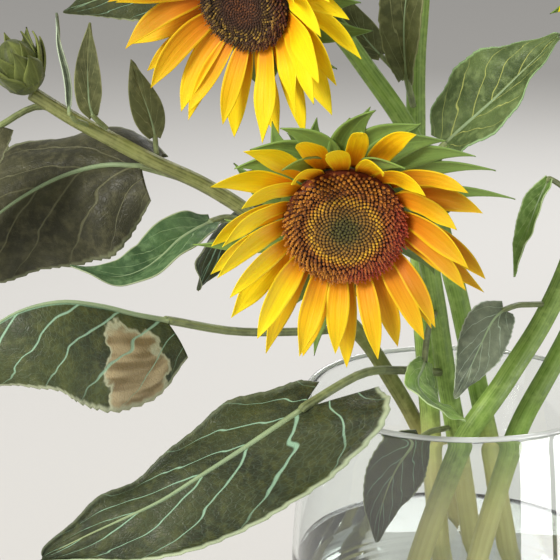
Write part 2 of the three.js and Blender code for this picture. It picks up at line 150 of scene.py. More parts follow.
# %% Add, choose and join
def choose(*pieces):
    bpy.ops.object.select_all(action="DESELECT")
    for piece in pieces:
        piece.select_set(True)
    bpy.context.view_layer.objects.active = pieces[0]


def added(operator, name, location=(0, 0, 0), **settings):
    """A primitive, added with nothing else selected."""
    bpy.ops.object.select_all(action="DESELECT")
    operator(location=location, **settings)
    piece = bpy.context.object
    piece.name = piece.data.name = name
    return piece


def built(name, points, edges, faces):
    """A piece made from lists of its points, edges and faces."""
    mesh = bpy.data.meshes.new(name)
    mesh.from_pydata(points, edges, faces)
    piece = bpy.data.objects.new(name, mesh)
    bpy.context.scene.collection.objects.link(piece)
    return piece


def join(pieces, name):
    choose(*pieces)
    if len(pieces) > 1:
        bpy.ops.object.join()
    pieces[0].name = pieces[0].data.name = name
    return pieces[0]


def use(piece, kind, **settings):
    """Adds a modifier with its settings and applies it."""
    choose(piece)
    modifier = piece.modifiers.new(kind.title(), kind)
    for key, value in settings.items():
        setattr(modifier, key, value)
    bpy.ops.object.modifier_apply(modifier=modifier.name)


def copy_of(blank, name):
    copy = blank.copy()
    copy.data = blank.data.copy()
    copy.name = copy.data.name = name
    bpy.context.scene.collection.objects.link(copy)
    return copy


# %% [markdown]
# ## Telling the frame about a piece
# The stalks only stand in the vase, so the whole bouquet is one body, and every piece rides on it. A finished
# piece also hides the plain nodes of the frame that it stands for.


# %% Finish a piece
def settle(piece, slot, *nodes):
    """Lets a smooth piece ride on the bouquet and stand for its frame nodes."""
    choose(piece)
    bpy.ops.object.shade_smooth()
    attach(piece, "root")
    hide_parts(*nodes)


def finish_piece(piece, material, slot, *nodes):
    piece.data.materials.clear()
    piece.data.materials.append(material)
    settle(piece, slot, *nodes)


# %% [markdown]
# ## A flat sheet to start from
# A leaf blade and a petal are both thin sheets. Each starts as a grid primitive whose faces run across (u)
# and along (v). The grid keeps its UV map when its points are moved, so a vein or a groove in the material
# follows the sheet wherever it bends.


# %% Sheets and tubes
def sheet(name, across, along):
    """A grid piece, and for each of its points the place across (-1 to 1) and along (0 to 1)."""
    piece = added(bpy.ops.mesh.primitive_grid_add, name, x_subdivisions=across, y_subdivisions=along, size=1)
    flat = points_of(piece)
    return piece, flat[:, 0] * 2, flat[:, 1] + 0.5


def turned_frames(path):
    """For each point of a path: two directions square to it that don't spin about it."""
    ways = unit(np.gradient(path, axis=0))
    sides = np.empty_like(ways)
    side = np.cross(ways[0], [0.2, 1.0, 0.1])
    for i, way in enumerate(ways):
        side = side - way * (side @ way)
        side = side / np.linalg.norm(side)
        sides[i] = side
    return sides, np.cross(ways, sides)


RIBS_ROUND = 9


def tube(name, path, radius, around, ribs):
    """A round rod along a path, with one radius for each of its points. ribs is the height of its ribs."""
    piece, s, t = sheet(name, around, len(path) - 1)
    ring = np.rint(t * (len(path) - 1)).astype(int)
    angle = np.rint((s + 1) / 2 * around) % around * math.tau / around
    sides, ups = turned_frames(path)
    reach = radius[ring] * (1 + ribs * np.cos(RIBS_ROUND * angle))
    outward = sides[ring] * np.cos(angle)[:, None] + ups[ring] * np.sin(angle)[:, None]
    place(piece, path[ring] + outward * reach[:, None])
    choose(piece)
    bpy.ops.object.mode_set(mode="EDIT")
    bpy.ops.mesh.select_all(action="SELECT")
    bpy.ops.mesh.remove_doubles(threshold=1e-7)
    bpy.ops.mesh.select_all(action="DESELECT")
    bpy.ops.mesh.select_non_manifold()
    bpy.ops.mesh.edge_face_add()
    bpy.ops.mesh.select_all(action="SELECT")
    bpy.ops.mesh.normals_make_consistent(inside=False)
    bpy.ops.object.mode_set(mode="OBJECT")
    return piece


# %% [markdown]
# ## Reading the frame's stalks and leaves
# The frame's stalks and leaves are lofts: rings of eight points, closed at each end on a point in the
# middle. A merged copy of the mesh gives the rings back, one after the other, from the rounder of its two
# end points.

# %% Rings of a loft
LOFT_SIDES = 8


def rings(node):
    """The end points and the rings of a loft, each ring's points in order round it."""
    copy = bmesh.new()
    copy.from_mesh(frame["nodes"][node].data)
    bmesh.ops.remove_doubles(copy, verts=copy.verts, dist=1e-6)
    ends = [v for v in copy.verts if len(v.link_edges) == LOFT_SIDES]
    ends.sort(key=lambda end: np.ptp([(e.other_vert(end).co - end.co).length for e in end.link_edges]))
    start = ends[0]
    seen = {start}
    current = {e.other_vert(start) for e in start.link_edges}
    found = []
    while len(current) == LOFT_SIDES:
        ordered = [min(current, key=lambda v: v.index)]
        while len(ordered) < LOFT_SIDES:
            near = [e.other_vert(ordered[-1]) for e in ordered[-1].link_edges]
            ordered.append(next(v for v in near if v in current and v not in ordered))
        found.append(np.array([v.co for v in ordered], float))
        seen |= current
        current = {e.other_vert(v) for v in current for e in v.link_edges} - seen
    tip = np.array(next(iter(current)).co, float)
    base = np.array(start.co, float)
    copy.free()
    return base, found, tip


for node in ("stalk_front", "leaf_narrow"):
    print(node, "has", len(rings(node)[1]), "rings")

# %% [markdown]
# ## Building a finish from nodes
# A finish is a tree of nodes. Short names for the steps that come again and again, such as mixing two
# colours, let each finish read as a recipe. A colour is always given as red, green and blue.


# %% Node helpers
class Nodes:
    """Short names for building a node tree."""

    def __init__(self, tree):
        self.tree = tree

    def add(self, kind, **settings):
        node = self.tree.nodes.new(kind)
        for key, value in settings.items():
            setattr(node, key, value)
        return node

    def link(self, source, target):
        self.tree.links.new(source, target)

    def feed(self, socket, value):
        if isinstance(value, bpy.types.NodeSocket):
            self.link(value, socket)
        else:
            socket.default_value = (*value, 1) if socket.type == "RGBA" else value

    def math(self, operation, *values):
        node = self.add("ShaderNodeMath", operation=operation)
        for socket, value in zip(node.inputs, values):
            self.feed(socket, value)
        return node.outputs[0]

    def plus(self, a, b):
        return self.math("ADD", a, b)

    def minus(self, a, b):
        return self.math("SUBTRACT", a, b)

    def times(self, a, b):
        return self.math("MULTIPLY", a, b)

    def from_half(self, share):
        return self.math("ABSOLUTE", self.minus(share, 0.5))

    def mix(self, factor, a, b):
        node = self.add("ShaderNodeMix", data_type="RGBA", clamp_factor=True)
        for label, value in zip((0, 6, 7), (factor, a, b)):
            self.feed(node.inputs[label], value)
        return node.outputs[2]

    def ramp(self, factor, *stops):
        node = self.add("ShaderNodeValToRGB")
        ends = node.color_ramp.elements
        while len(ends) < len(stops):
            ends.new(0.5)
        for element, (position, color) in zip(ends, stops):
            element.position = position
            element.color = (*color, 1)
        self.feed(node.inputs[0], factor)
        return node.outputs[0]

    def span(self, value, low, high, to_low=0.0, to_high=1.0, smooth=True):
        node = self.add("ShaderNodeMapRange", interpolation_type="SMOOTHSTEP" if smooth else "LINEAR")
        for socket, number in zip(node.inputs, (value, low, high, to_low, to_high)):
            self.feed(socket, number)
        return node.outputs[0]

    def noise(self, vector, scale, detail=3.0):
        node = self.add("ShaderNodeTexNoise")
        for label, value in (("Vector", vector), ("Scale", scale), ("Detail", detail), ("Roughness", 0.55)):
            self.feed(node.inputs[label], value)
        return node.outputs["Fac"]

    def cells(self, vector, scale, feature):
        node = self.add("ShaderNodeTexVoronoi", feature=feature)
        self.feed(node.inputs["Vector"], vector)
        self.feed(node.inputs["Scale"], scale)
        return node.outputs["Distance"]

    def stretch(self, vector, scale):
        node = self.add("ShaderNodeMapping")
        self.feed(node.inputs["Vector"], vector)
        self.feed(node.inputs["Scale"], scale)
        return node.outputs[0]

    def bump(self, height, strength, distance):
        node = self.add("ShaderNodeBump")
        for label, value in (("Height", height), ("Strength", strength), ("Distance", distance)):
            self.feed(node.inputs[label], value)
        return node.outputs[0]

    def attribute(self, name):
        return self.add("ShaderNodeAttribute", attribute_name=name).outputs["Fac"]

    def coordinates(self, kind):
        return self.add("ShaderNodeTexCoord").outputs[kind]

    def parts(self, vector):
        node = self.add("ShaderNodeSeparateXYZ")
        self.link(vector, node.inputs[0])
        return node.outputs


# %% Groups and materials
def group(name, inputs, outputs):
    tree = bpy.data.node_groups.new(name, "ShaderNodeTree")
    for label, kind in inputs:
        tree.interface.new_socket(label, in_out="INPUT", socket_type=kind)
    for label, kind in outputs:
        tree.interface.new_socket(label, in_out="OUTPUT", socket_type=kind)
    nodes = Nodes(tree)
    return tree, nodes, nodes.add("NodeGroupInput").outputs, nodes.add("NodeGroupOutput").inputs


def material(name, roughness, **sockets):
    made = bpy.data.materials.new(name)
    made.use_nodes = True
    nodes = Nodes(made.node_tree)
    shader = made.node_tree.nodes["Principled BSDF"]
    shader.inputs["Roughness"].default_value = roughness
    for label, value in sockets.items():
        shader.inputs[label.replace("_", " ")].default_value = value
    return made, nodes, shader.inputs


def placed(nodes, tree, **inputs):
    node = nodes.add("ShaderNodeGroup", node_tree=tree)
    for label, value in inputs.items():
        nodes.feed(node.inputs[label.replace("_", " ")], value)
    return node.outputs


# %% [markdown]
# ## Two shared effects
# Plants are never one flat colour. Two node groups are used all over the bouquet: one gives soft blotches,
# and one gives the long fine fibres that run along petals, stalks and leaves.

# %% Blotches and fibres
FLOAT, VECTOR, COLOR = "NodeSocketFloat", "NodeSocketVector", "NodeSocketColor"

blotches, n, given, out = group(
    "blotches", [("Vector", VECTOR), ("Color", COLOR), ("Darker", COLOR), ("Lighter", COLOR)],
    [("Color", COLOR)]
)
broad = n.span(n.noise(given["Vector"], 38, 3), 0.36, 0.66)
small = n.span(n.noise(given["Vector"], 210, 4), 0.42, 0.72)
shaded = n.mix(broad, given["Darker"], given["Color"])
n.link(n.mix(n.times(small, 0.55), shaded, given["Lighter"]), out["Color"])

fibres, n, given, out = group("fibres", [("UV", VECTOR)], [("Fibre", FLOAT), ("Height", FLOAT)])
fine = n.noise(n.stretch(given["UV"], (42, 1.6, 1)), 1.0, 2)
coarse = n.noise(n.stretch(given["UV"], (13, 0.9, 1)), 1.0, 2)
n.link(n.span(n.plus(n.times(fine, 0.6), n.times(coarse, 0.4)), 0.35, 0.65), out["Fibre"])
n.link(n.plus(fine, coarse), out["Height"])
print("shared effects:", blotches.name, "and", fibres.name)


def blotched(nodes, where, body, darker, lighter):
    return placed(nodes, blotches, Vector=where, Color=body, Darker=darker, Lighter=lighter)["Color"]


# %% [markdown]
# ## The finish of a leaf
# A sunflower's leaf is matt and dark, with a pale midrib, side veins that leave it in pairs and curve
# towards the tip, and a net of fine veins between them. The pattern is worked out from the sheet's UV map,
# where u runs across the blade and v along it. The mesh swells between the same veins, so both use the same
# three numbers.

# %% Leaf veins
VEIN_PAIRS = 5.5
VEIN_SWEEP = 0.46
VEIN_BEND = 0.85

leaf_veins, n, given, out = group(
    "leaf veins", [("UV", VECTOR)],
    [("Midrib", FLOAT), ("Vein", FLOAT), ("Net", FLOAT), ("Edge", FLOAT), ("Along", FLOAT)]
)
across, along, _ = n.parts(given["UV"])
side = n.times(n.from_half(across), 2.0)
sweep = n.times(n.math("POWER", side, VEIN_BEND), VEIN_SWEEP)
wander = n.times(n.minus(n.noise(given["UV"], 4.0, 2), 0.5), 0.16)
phase = n.times(n.plus(n.minus(along, sweep), wander), VEIN_PAIRS)
gap = n.from_half(n.math("FRACT", n.plus(phase, 0.5)))
thin = n.span(side, 0.0, 1.0, 0.06, 0.018, smooth=False)
sharp = n.span(n.math("DIVIDE", gap, thin), 0.3, 1.0, 1.0, 0.0)
net = n.cells(n.stretch(given["UV"], (34, 62, 1)), 1.0, "DISTANCE_TO_EDGE")
n.link(n.span(side, 0.012, 0.04, 1.0, 0.0), out["Midrib"])
n.link(n.times(sharp, n.span(side, 0.55, 1.0, 1.0, 0.25)), out["Vein"])
n.link(n.span(net, 0.0, 0.14, 1.0, 0.0), out["Net"])
n.link(n.span(side, 0.93, 0.98), out["Edge"])
n.link(along, out["Along"])
print(VEIN_PAIRS, "pairs of veins on each leaf")

# %% [markdown]
# An old leaf dies from its margin inwards. The dead part is tan, its folds painted as pale and dark stripes,
# a painted light and shade, and a pale, ragged line borders it.


# %% A withered patch
def withered(n, where, uv, along, blade, edge, pale, shade, start, end):
    """Lays a dry patch over the right half of a blade, from start to end along it. Its folds are painted pale
    and dark: painted light and shade.
    """
    ragged = n.times(n.minus(n.noise(where, 60), 0.5), 0.35)
    reach = n.plus(along, n.times(ragged, 0.6))
    here = n.times(n.span(reach, start - 0.03, start + 0.03), n.span(reach, end - 0.03, end + 0.03, 1.0, 0.0))
    beside = n.plus(n.minus(n.parts(uv)[0], 0.5), ragged)
    patch = n.times(here, n.span(beside, -0.04, -0.18))
    # Pale and dark stripes along the folds: painted light and shade.
    painted_fold_shade = n.span(n.noise(n.stretch(uv, (16, 5, 1)), 1.0, 1), 0.36, 0.62)
    rimmed = n.mix(n.span(patch, 0.55, 0.95, 0.75, 0.0), n.mix(painted_fold_shade, pale, shade), edge)
    return n.mix(n.span(patch, 0.3, 0.55), blade, rimmed)


# %% Leaf finish
def leaf_finish(name, dark, body, light, vein, edge, strength, dry=None, far_margin_highlight=0.75):
    """dark, body and light are the blade's blotches, and strength is how much its veins show. edge is the
    colour of a painted highlight along the margin. dry is (pale, shade, start, end) of a withered patch,
    whose folds are painted light and shade. far_margin_highlight is how strongly that painted highlight shows
    on the left."""
    made, n, shader = material(name, 0.55, Specular_IOR_Level=0.35)
    uv, where = n.coordinates("UV"), n.coordinates("Object")
    veins = placed(n, leaf_veins, UV=uv)
    blade = n.mix(n.times(veins["Net"], 0.05 * strength), blotched(n, where, body, dark, light), vein)
    if dry:
        blade = withered(n, where, uv, veins["Along"], blade, edge, *dry)
    lined = n.mix(n.times(veins["Vein"], strength), blade, vein)
    ribbed = n.mix(n.times(veins["Midrib"], min(1.0, strength * 1.15)), lined, vein)
    # The margin is painted lighter, a painted highlight: 0.75 of it on the right half, and the given share on
    # the left half.
    margin = n.times(veins["Edge"], n.span(n.parts(uv)[0], 0.45, 0.55, 0.75, far_margin_highlight))
    edged = n.mix(margin, ribbed, edge)
    behind = n.add("ShaderNodeNewGeometry").outputs["Backfacing"]
    n.link(n.mix(behind, edged, n.mix(0.35, edged, light)), shader["Base Color"])
    n.link(n.span(n.noise(where, 160), 0.3, 0.7, 0.42, 0.68), shader["Roughness"])
    grooves = n.plus(n.times(veins["Vein"], -0.7), n.times(veins["Net"], -0.3))
    skin = n.times(n.noise(where, 900, 3), 0.5)
    n.link(n.bump(n.plus(grooves, skin), 0.55, 0.0006), shader["Normal"])
    return made


# %% [markdown]
# ## Building a leaf
# The frame gives each leaf a petiole and eight cross sections, and each section has its edges, its midrib
# and the middle of each half. A fine grid is laid through those lines. Then it gets what the frame leaves
# out: a toothed margin, a blade that swells between its veins, a margin that is too long for the blade and
# so goes wavy, and a midrib that stands out below.


# %% The lines of a leaf
PETIOLE_RINGS = 4


def leaf_lines(node):
    """The petiole's middle line and radius, and the blade's rows of five points, from its right edge to its
    left edge."""
    base, sections, tip = rings(node)
    middles = np.array([ring.mean(axis=0) for ring in sections] + [tip])
    rows = []
    for i, ring in enumerate(sections[PETIOLE_RINGS:], start=PETIOLE_RINGS):
        turn = np.cross(ring - middles[i], np.roll(ring, -1, axis=0) - middles[i]).sum(axis=0)
        if turn @ (middles[i + 1] - middles[i - 1]) < 0:
            ring = ring[::-1]
        first = max(range(4), key=lambda k: np.linalg.norm(ring[k] - ring[k + 4]))
        options = [np.roll(ring, -k, axis=0) for k in (first, first + 4)]
        top = min(options, key=lambda r: abs(np.linalg.norm(r[0] - r[1]) - np.linalg.norm(r[1] - r[2]))
                  + abs(np.linalg.norm(r[4] - r[3]) - np.linalg.norm(r[3] - r[2])))
        rows.append(top[:5])
    rows.append(np.repeat(tip[None], 5, axis=0))
    radius = np.linalg.norm(sections[0] - base, axis=1).mean()
    return np.concatenate([[base], middles[1:PETIOLE_RINGS]]), radius, np.array(rows)


def blade_points(rows, across, along):
    """Points on the blade, at -1 (right edge) to 1 (left edge) across it and 0 to 1 along it."""
    lines = spline(rows, along)
    share = np.abs(across)[:, None]
    left = (across > 0)[:, None]
    middle = np.where(left, lines[:, 3], lines[:, 1])
    edge = np.where(left, lines[:, 4], lines[:, 0])
    return (lines[:, 2] * (1 - share) * (1 - 2 * share) + middle * 4 * share * (1 - share)
            + edge * share * (2 * share - 1))


print("leaf_narrow's rows", leaf_lines("leaf_narrow")[2].shape)


# %% Grow a leaf
BLADE_THICKNESS = 0.0006
UPPER_SIDE = np.array([0.05, -0.4, 1.0])
PETIOLE_STEPS, RIB_STEPS = 18, 30
RIB_BELOW = 0.0004


def grow_leaf(node, material, seed, across=44, along=96, teeth=20, tooth=0.05, ruffle=0.04, swell=0.018,
              curl=0.0):
    """teeth is how many teeth the margin has on each side. tooth, ruffle, swell and curl are shares of the
    blade's half width."""
    route, radius, rows = leaf_lines(node)
    half_width = 0.5 * np.linalg.norm(rows[:, 0] - rows[:, 4], axis=1).max()
    blade, s, t = sheet(node + "_blade", across, along)
    side = np.abs(s)
    saw = (t * teeth) % 1.0
    bite = tooth * saw * smoothstep(0.75, 1.0, side) * smoothstep(0.0, 0.06, t) * smoothstep(1.0, 0.9, t)
    s = s * (1 - bite)
    step = 0.004
    points = blade_points(rows, s, t)
    run = blade_points(rows, s, np.minimum(t + step, 1)) - blade_points(rows, s, np.maximum(t - step, 0))
    sides = blade_points(rows, s + step, t) - blade_points(rows, s - step, t)
    face = unit(np.cross(run, sides) + 1e-12)
    face *= np.sign((face @ UPPER_SIDE).sum() or 1)
    phase = VEIN_PAIRS * (t - VEIN_SWEEP * side**VEIN_BEND)
    swelling = swell * np.abs(np.sin(math.pi * phase)) ** 0.7
    swelling *= smoothstep(0.02, 0.25, side) * (1 - 0.6 * side)
    groove = -0.02 * np.exp(-((side / 0.05) ** 2))
    waves = (np.sin(math.tau * (2.3 * t + 0.31 * seed) + 1.7 * np.sign(s))
             + 0.55 * np.sin(math.tau * (5.1 * t + 0.73 * seed) + 0.9 * np.sign(s)))
    rolled = curl * smoothstep(0.86, 1.0, side) ** 1.5
    uneven = 0.035 * wobble(points, 0.03, seed) * side
    lift = swelling + groove + ruffle * waves * side**2.4 + uneven + rolled
    lift *= half_width * smoothstep(1.0, 0.86, t) * smoothstep(-0.02, 0.1, t)
    place(blade, points + face * lift[:, None])
    use(blade, "SOLIDIFY", thickness=BLADE_THICKNESS, offset=0, use_even_offset=False)
    spine = spline(rows[:, 2], np.linspace(0, 0.97, RIB_STEPS)) - np.mean(face, axis=0) * RIB_BELOW
    stem = spline(np.concatenate([route, spine[:2]]), np.linspace(0, 0.8, PETIOLE_STEPS))
    thick = radius * np.concatenate([np.ones(PETIOLE_STEPS), np.linspace(0.85, 0.28, RIB_STEPS) ** 1.8])
    rib = tube(node + "_rib", np.concatenate([stem, spine]), thick, around=12, ribs=0.03)
    blade.data.materials.append(material)
    rib.data.materials.append(petiole_finish)
    return join([blade, rib], node + "_blade")


# %% [markdown]
# ## The finish of stalks and petioles
# A cut stalk is a bright yellowish green with paler and darker fibres along it and fine pale bristles. Down
# in the vase it is bleached, and its colour there is also painted lighter: painted light for the dim light
# inside the glass. Height comes from the Object coordinates, because the whole bouquet shares one place.

# %% Stalk finish
RIM_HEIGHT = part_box("vase")[1].z
SAP = (0.52, 0.40, 0.12)


def stalk_finish(name, body, light, streak, wet_and_painted_light, rib=None):
    """wet_and_painted_light is its colour in the vase, bleached and also painted lighter for the dim light
    there, and rib that of a petiole's far end, where it is a leaf's midrib.
    """
    made, n, shader = material(name, 0.5, Specular_IOR_Level=0.4)
    uv, where = n.coordinates("UV"), n.coordinates("Object")
    lengthways = placed(n, fibres, UV=uv)
    colour = n.mix(n.times(lengthways["Fibre"], 0.55), blotched(n, where, body, streak, light), light)
    if rib:
        colour = n.mix(n.span(n.parts(uv)[1], 0.3, 0.5, 0.0, 0.8), colour, rib)
    sunk = n.span(n.parts(where)[2], RIM_HEIGHT - 0.01, RIM_HEIGHT - 0.06)
    # In the vase the stalk takes a bleached colour that is also painted lighter: painted light for the dim
    # light inside the glass.
    bleached_and_painted_light = n.mix(n.times(lengthways["Fibre"], 0.35), wet_and_painted_light, SAP)
    n.link(n.mix(n.times(sunk, 0.8), colour, bleached_and_painted_light), shader["Base Color"])
    bristles = n.span(n.cells(where, 700, "F1"), 0.0, 0.35, 1.0, 0.0)
    height = n.plus(n.times(lengthways["Height"], 0.8), n.times(bristles, 0.5))
    n.link(n.bump(height, 0.5, 0.0005), shader["Normal"])
    n.link(n.span(n.noise(where, 120), 0.3, 0.7, 0.4, 0.62), shader["Roughness"])
    return made


stalk_green = stalk_finish(
    "stalk green", (0.215, 0.385, 0.048), (0.44, 0.63, 0.16), (0.105, 0.190, 0.026), (0.86, 0.80, 0.33)
)
side_stalk = stalk_finish(
    "side stalk", (0.190, 0.225, 0.050), (0.40, 0.42, 0.16), (0.085, 0.095, 0.024), (0.80, 0.74, 0.30)
)
petiole_finish = stalk_finish(
    "petiole green", (0.19, 0.24, 0.08), (0.36, 0.42, 0.19), (0.09, 0.11, 0.04), (0.42, 0.40, 0.14),
    rib=(0.32, 0.44, 0.25)
)
print("stalk finishes:", stalk_green.name, side_stalk.name, petiole_finish.name)

# %% [markdown]
# ## The stalks
# Each stalk runs along the middle of its loft. A rod is laid along that line, with low ribs and a little
# unevenness. The foot keeps its level cut.


# %% Stalks
STALK_STEPS = 150


def grow_stalk(node, seed):
    base, sections, tip = rings(node)
    if base[2] > tip[2]:
        base, sections, tip = tip, sections[::-1], base
    middles = np.array([base] + [ring.mean(axis=0) for ring in sections[1:-1]] + [tip])
    widths = [np.linalg.norm(ring - ring.mean(axis=0), axis=1).mean() for ring in sections]
    t = np.linspace(0, 1, STALK_STEPS)
    path = spline(middles, t)
    path[1:-1] += 0.0006 * np.stack([wobble(path[1:-1], 0.035, seed + k) for k in range(3)], axis=1)
    radius = spline(np.array(widths)[:, None], t)[:, 0]
    radius = radius * (1 + 0.03 * wobble(path, 0.02, seed + 5))
    rod = tube(node + "_ribbed", path, radius, around=36, ribs=0.03)
    length = np.linalg.norm(np.diff(path, axis=0), axis=1).sum()
    print(rod.name, "is", round(float(length) * 1000), "mm long")
    finish_piece(rod, side_stalk if node == "stalk_bud" else stalk_green, "stalks", node)


STALKS = [node for node in sorted(frame["nodes"]) if node.startswith("stalk_")]
for seed, node in enumerate(STALKS):
    grow_stalk(node, seed * 10)

# %% [markdown]
# ## The leaves
# Young leaves are fresh and light, old ones dark and brownish, and one by the vase is grey-green. Each kind
# has its own colours on the same vein pattern.

# %% Leaf colours
# The second of these, like each leaf's fifth colour below, is a painted highlight along the leaf's margin.
# MINT colours the veins.
MINT, MARGIN_HIGHLIGHT = (0.30, 0.50, 0.34), (0.46, 0.52, 0.30)
dark_leaf = leaf_finish(
    "dark leaf", (0.024, 0.031, 0.010), (0.046, 0.057, 0.015), (0.092, 0.104, 0.028), MINT, MARGIN_HIGHLIGHT, 0.85
)
near_leaf = leaf_finish(
    "dark leaf with a pale margin", (0.020, 0.026, 0.009), (0.040, 0.050, 0.014), (0.085, 0.095, 0.026),
    MINT, (0.56, 0.66, 0.42), 0.9, far_margin_highlight=0.12
)
dry_leaf = leaf_finish(
    "dry patched leaf", (0.026, 0.034, 0.011), (0.051, 0.064, 0.017), (0.105, 0.118, 0.032),
    MINT, (0.50, 0.54, 0.36), 0.85, dry=((0.47, 0.38, 0.21), (0.21, 0.155, 0.065), 0.09, 0.31)
)
brown_leaf = leaf_finish(
    "brownish leaf", (0.034, 0.034, 0.016), (0.062, 0.062, 0.028), (0.12, 0.115, 0.055),
    (0.20, 0.20, 0.105), (0.24, 0.26, 0.14), 0.6
)
fresh_leaf = leaf_finish(
    "fresh leaf", (0.055, 0.090, 0.026), (0.110, 0.165, 0.050), (0.24, 0.32, 0.12),
    (0.52, 0.56, 0.16), (0.36, 0.56, 0.26), 0.75
)
green_leaf = leaf_finish(
    "narrow green leaf", (0.035, 0.085, 0.028), (0.075, 0.155, 0.055), (0.17, 0.29, 0.12),
    (0.30, 0.44, 0.22), (0.52, 0.60, 0.36), 0.6
)
grey_leaf = leaf_finish(
    "grey green leaf", (0.085, 0.110, 0.066), (0.16, 0.195, 0.120), (0.28, 0.33, 0.21),
    (0.42, 0.53, 0.39), (0.62, 0.73, 0.55), 0.8
)
pale_leaf = leaf_finish(
    "pale young leaf", (0.070, 0.080, 0.026), (0.130, 0.145, 0.048), (0.24, 0.25, 0.10),
    (0.40, 0.41, 0.19), (0.34, 0.36, 0.16), 0.55
)
lime_leaf = leaf_finish(
    "young lime leaf", (0.105, 0.20, 0.036), (0.21, 0.37, 0.070), (0.38, 0.56, 0.17),
    (0.52, 0.66, 0.30), (0.60, 0.76, 0.40), 0.6
)

# %% Grow the leaves
SMALL, MIDDLING = dict(across=20, along=48), dict(across=28, along=60)
LEAF_KINDS = {
    "leaf_left_arched": (dry_leaf, dict(ruffle=0.05, tooth=0.03, teeth=26)),
    "leaf_lower_left": (near_leaf, dict(ruffle=0.09, tooth=0.03, teeth=26, curl=0.08)),
    "leaf_narrow": (green_leaf, dict(ruffle=0.10, tooth=0.0)),
    "leaf_left_broad": (brown_leaf, dict(ruffle=0.08, swell=0.05, tooth=0.03, teeth=26)),
    "leaf_far_left": (brown_leaf, dict(ruffle=0.07)),
    "leaf_spike": (grey_leaf, dict(tooth=0.0, ruffle=0.0, across=12, along=40)),
    "leaf_oval": (pale_leaf, dict(tooth=0.0, **SMALL)),
    "leaf_left_small": (pale_leaf, dict(tooth=0.0, **SMALL)),
    "leaf_upper_right": (fresh_leaf, dict(ruffle=0.06, tooth=0.03)),
    "leaf_upright": (pale_leaf, dict(ruffle=0.08)),
    "leaf_hooked": (pale_leaf, dict(tooth=0.0, **SMALL)),
    "leaf_hanging": (grey_leaf, dict(ruffle=0.08, **MIDDLING)),
    "leaf_curled": (lime_leaf, dict(ruffle=0.12, **MIDDLING)),
    "leaf_withered": (lime_leaf, dict(ruffle=0.12, **SMALL)),
    "leaf_behind_upper_left": (dark_leaf, dict()),
    "leaf_in_vase": (dark_leaf, MIDDLING),
    "leaf_back_left": (dark_leaf, dict(ruffle=0.06)),
    "leaf_back_right": (fresh_leaf, dict(ruffle=0.06)),
    "leaf_right_low": (dark_leaf, dict(ruffle=0.06)),
}
for seed, (node, (kind, options)) in enumerate(LEAF_KINDS.items()):
    settle(grow_leaf(node, kind, seed, **options), "leaves", node)
print(len(LEAF_KINDS), "leaves")

# %% [markdown]
# ## Where the heads are
# A head is round, so its disc says everything: the widest ring's middle is the head's centre, its radius is
# the head's size, and the receptacle lies behind it, which gives the way that it faces. The upper left head
# is an older flower, with a small dark disc and long, loose rays.


# %% Head places
UP = np.array([0.0, 0.0, 1.0])
DISC_RADIUS = 0.0295
OLD_RAY_SIZE = 1.06


class Head:
    """A round head. Its size is 1 for a disc of the usual radius."""

    def __init__(self, name, centre, normal, size):
        self.name, self.centre, self.normal, self.size = name, centre, normal, size
        self.right = unit(np.cross(UP, normal))
        self.up = np.cross(normal, self.right)
        self.old = name == "upper_left"
        self.ray_size = OLD_RAY_SIZE if self.old else size

    def spoke(self, angle):
        return self.right * math.cos(angle) + self.up * math.sin(angle)

    def way(self, spoke, lean):
        """The direction that leans forward from a spoke by an angle."""
        return spoke * math.cos(lean) + self.normal * math.sin(lean)

    def at(self, points):
        """Points given as (right, up, forward) on the head, in the bouquet's frame."""
        return self.centre + points @ np.stack([self.right, self.up, self.normal])


def head_in_frame(name):
    disc = points_of(frame["nodes"]["disc_" + name])
    behind = points_of(frame["nodes"]["receptacle_" + name])
    spread = disc - disc.mean(axis=0)
    normal = np.linalg.eigh(spread.T @ spread)[1][:, 0]
    normal *= np.sign(normal @ (disc.mean(axis=0) - behind.mean(axis=0)))
    reach = np.linalg.norm(spread - np.outer(spread @ normal, normal), axis=1)
    rim = disc[reach > reach.max() - 1e-5]
    return Head(name, rim.mean(axis=0), normal, reach.max() / DISC_RADIUS)


HEADS = [head_in_frame(name) for name in ("front", "upper_left", "upper_right", "top", "right")]
for head in HEADS:
    print(head.name, head.centre.round(3), head.normal.round(2), round(head.size, 2))

# %% [markdown]
# ## Ray petals
# One petal is modelled flat: a long pointed outline with two grooves along it. Each ray is a copy of it,
# with its own length, width, bend and twist, laid along a line that leaves the head's rim and then sags.
# The frame's numbers for the rays are used again here: seventeen in a whorl, and the same lean, sag and
# height.

# %% A bent strip
DOWN = -UP
STRIP_STEPS = 60
PETAL_OUTLINE = [0.60, 0.78, 0.92, 0.99, 1.0, 0.95, 0.84, 0.64, 0.34, 0.0]


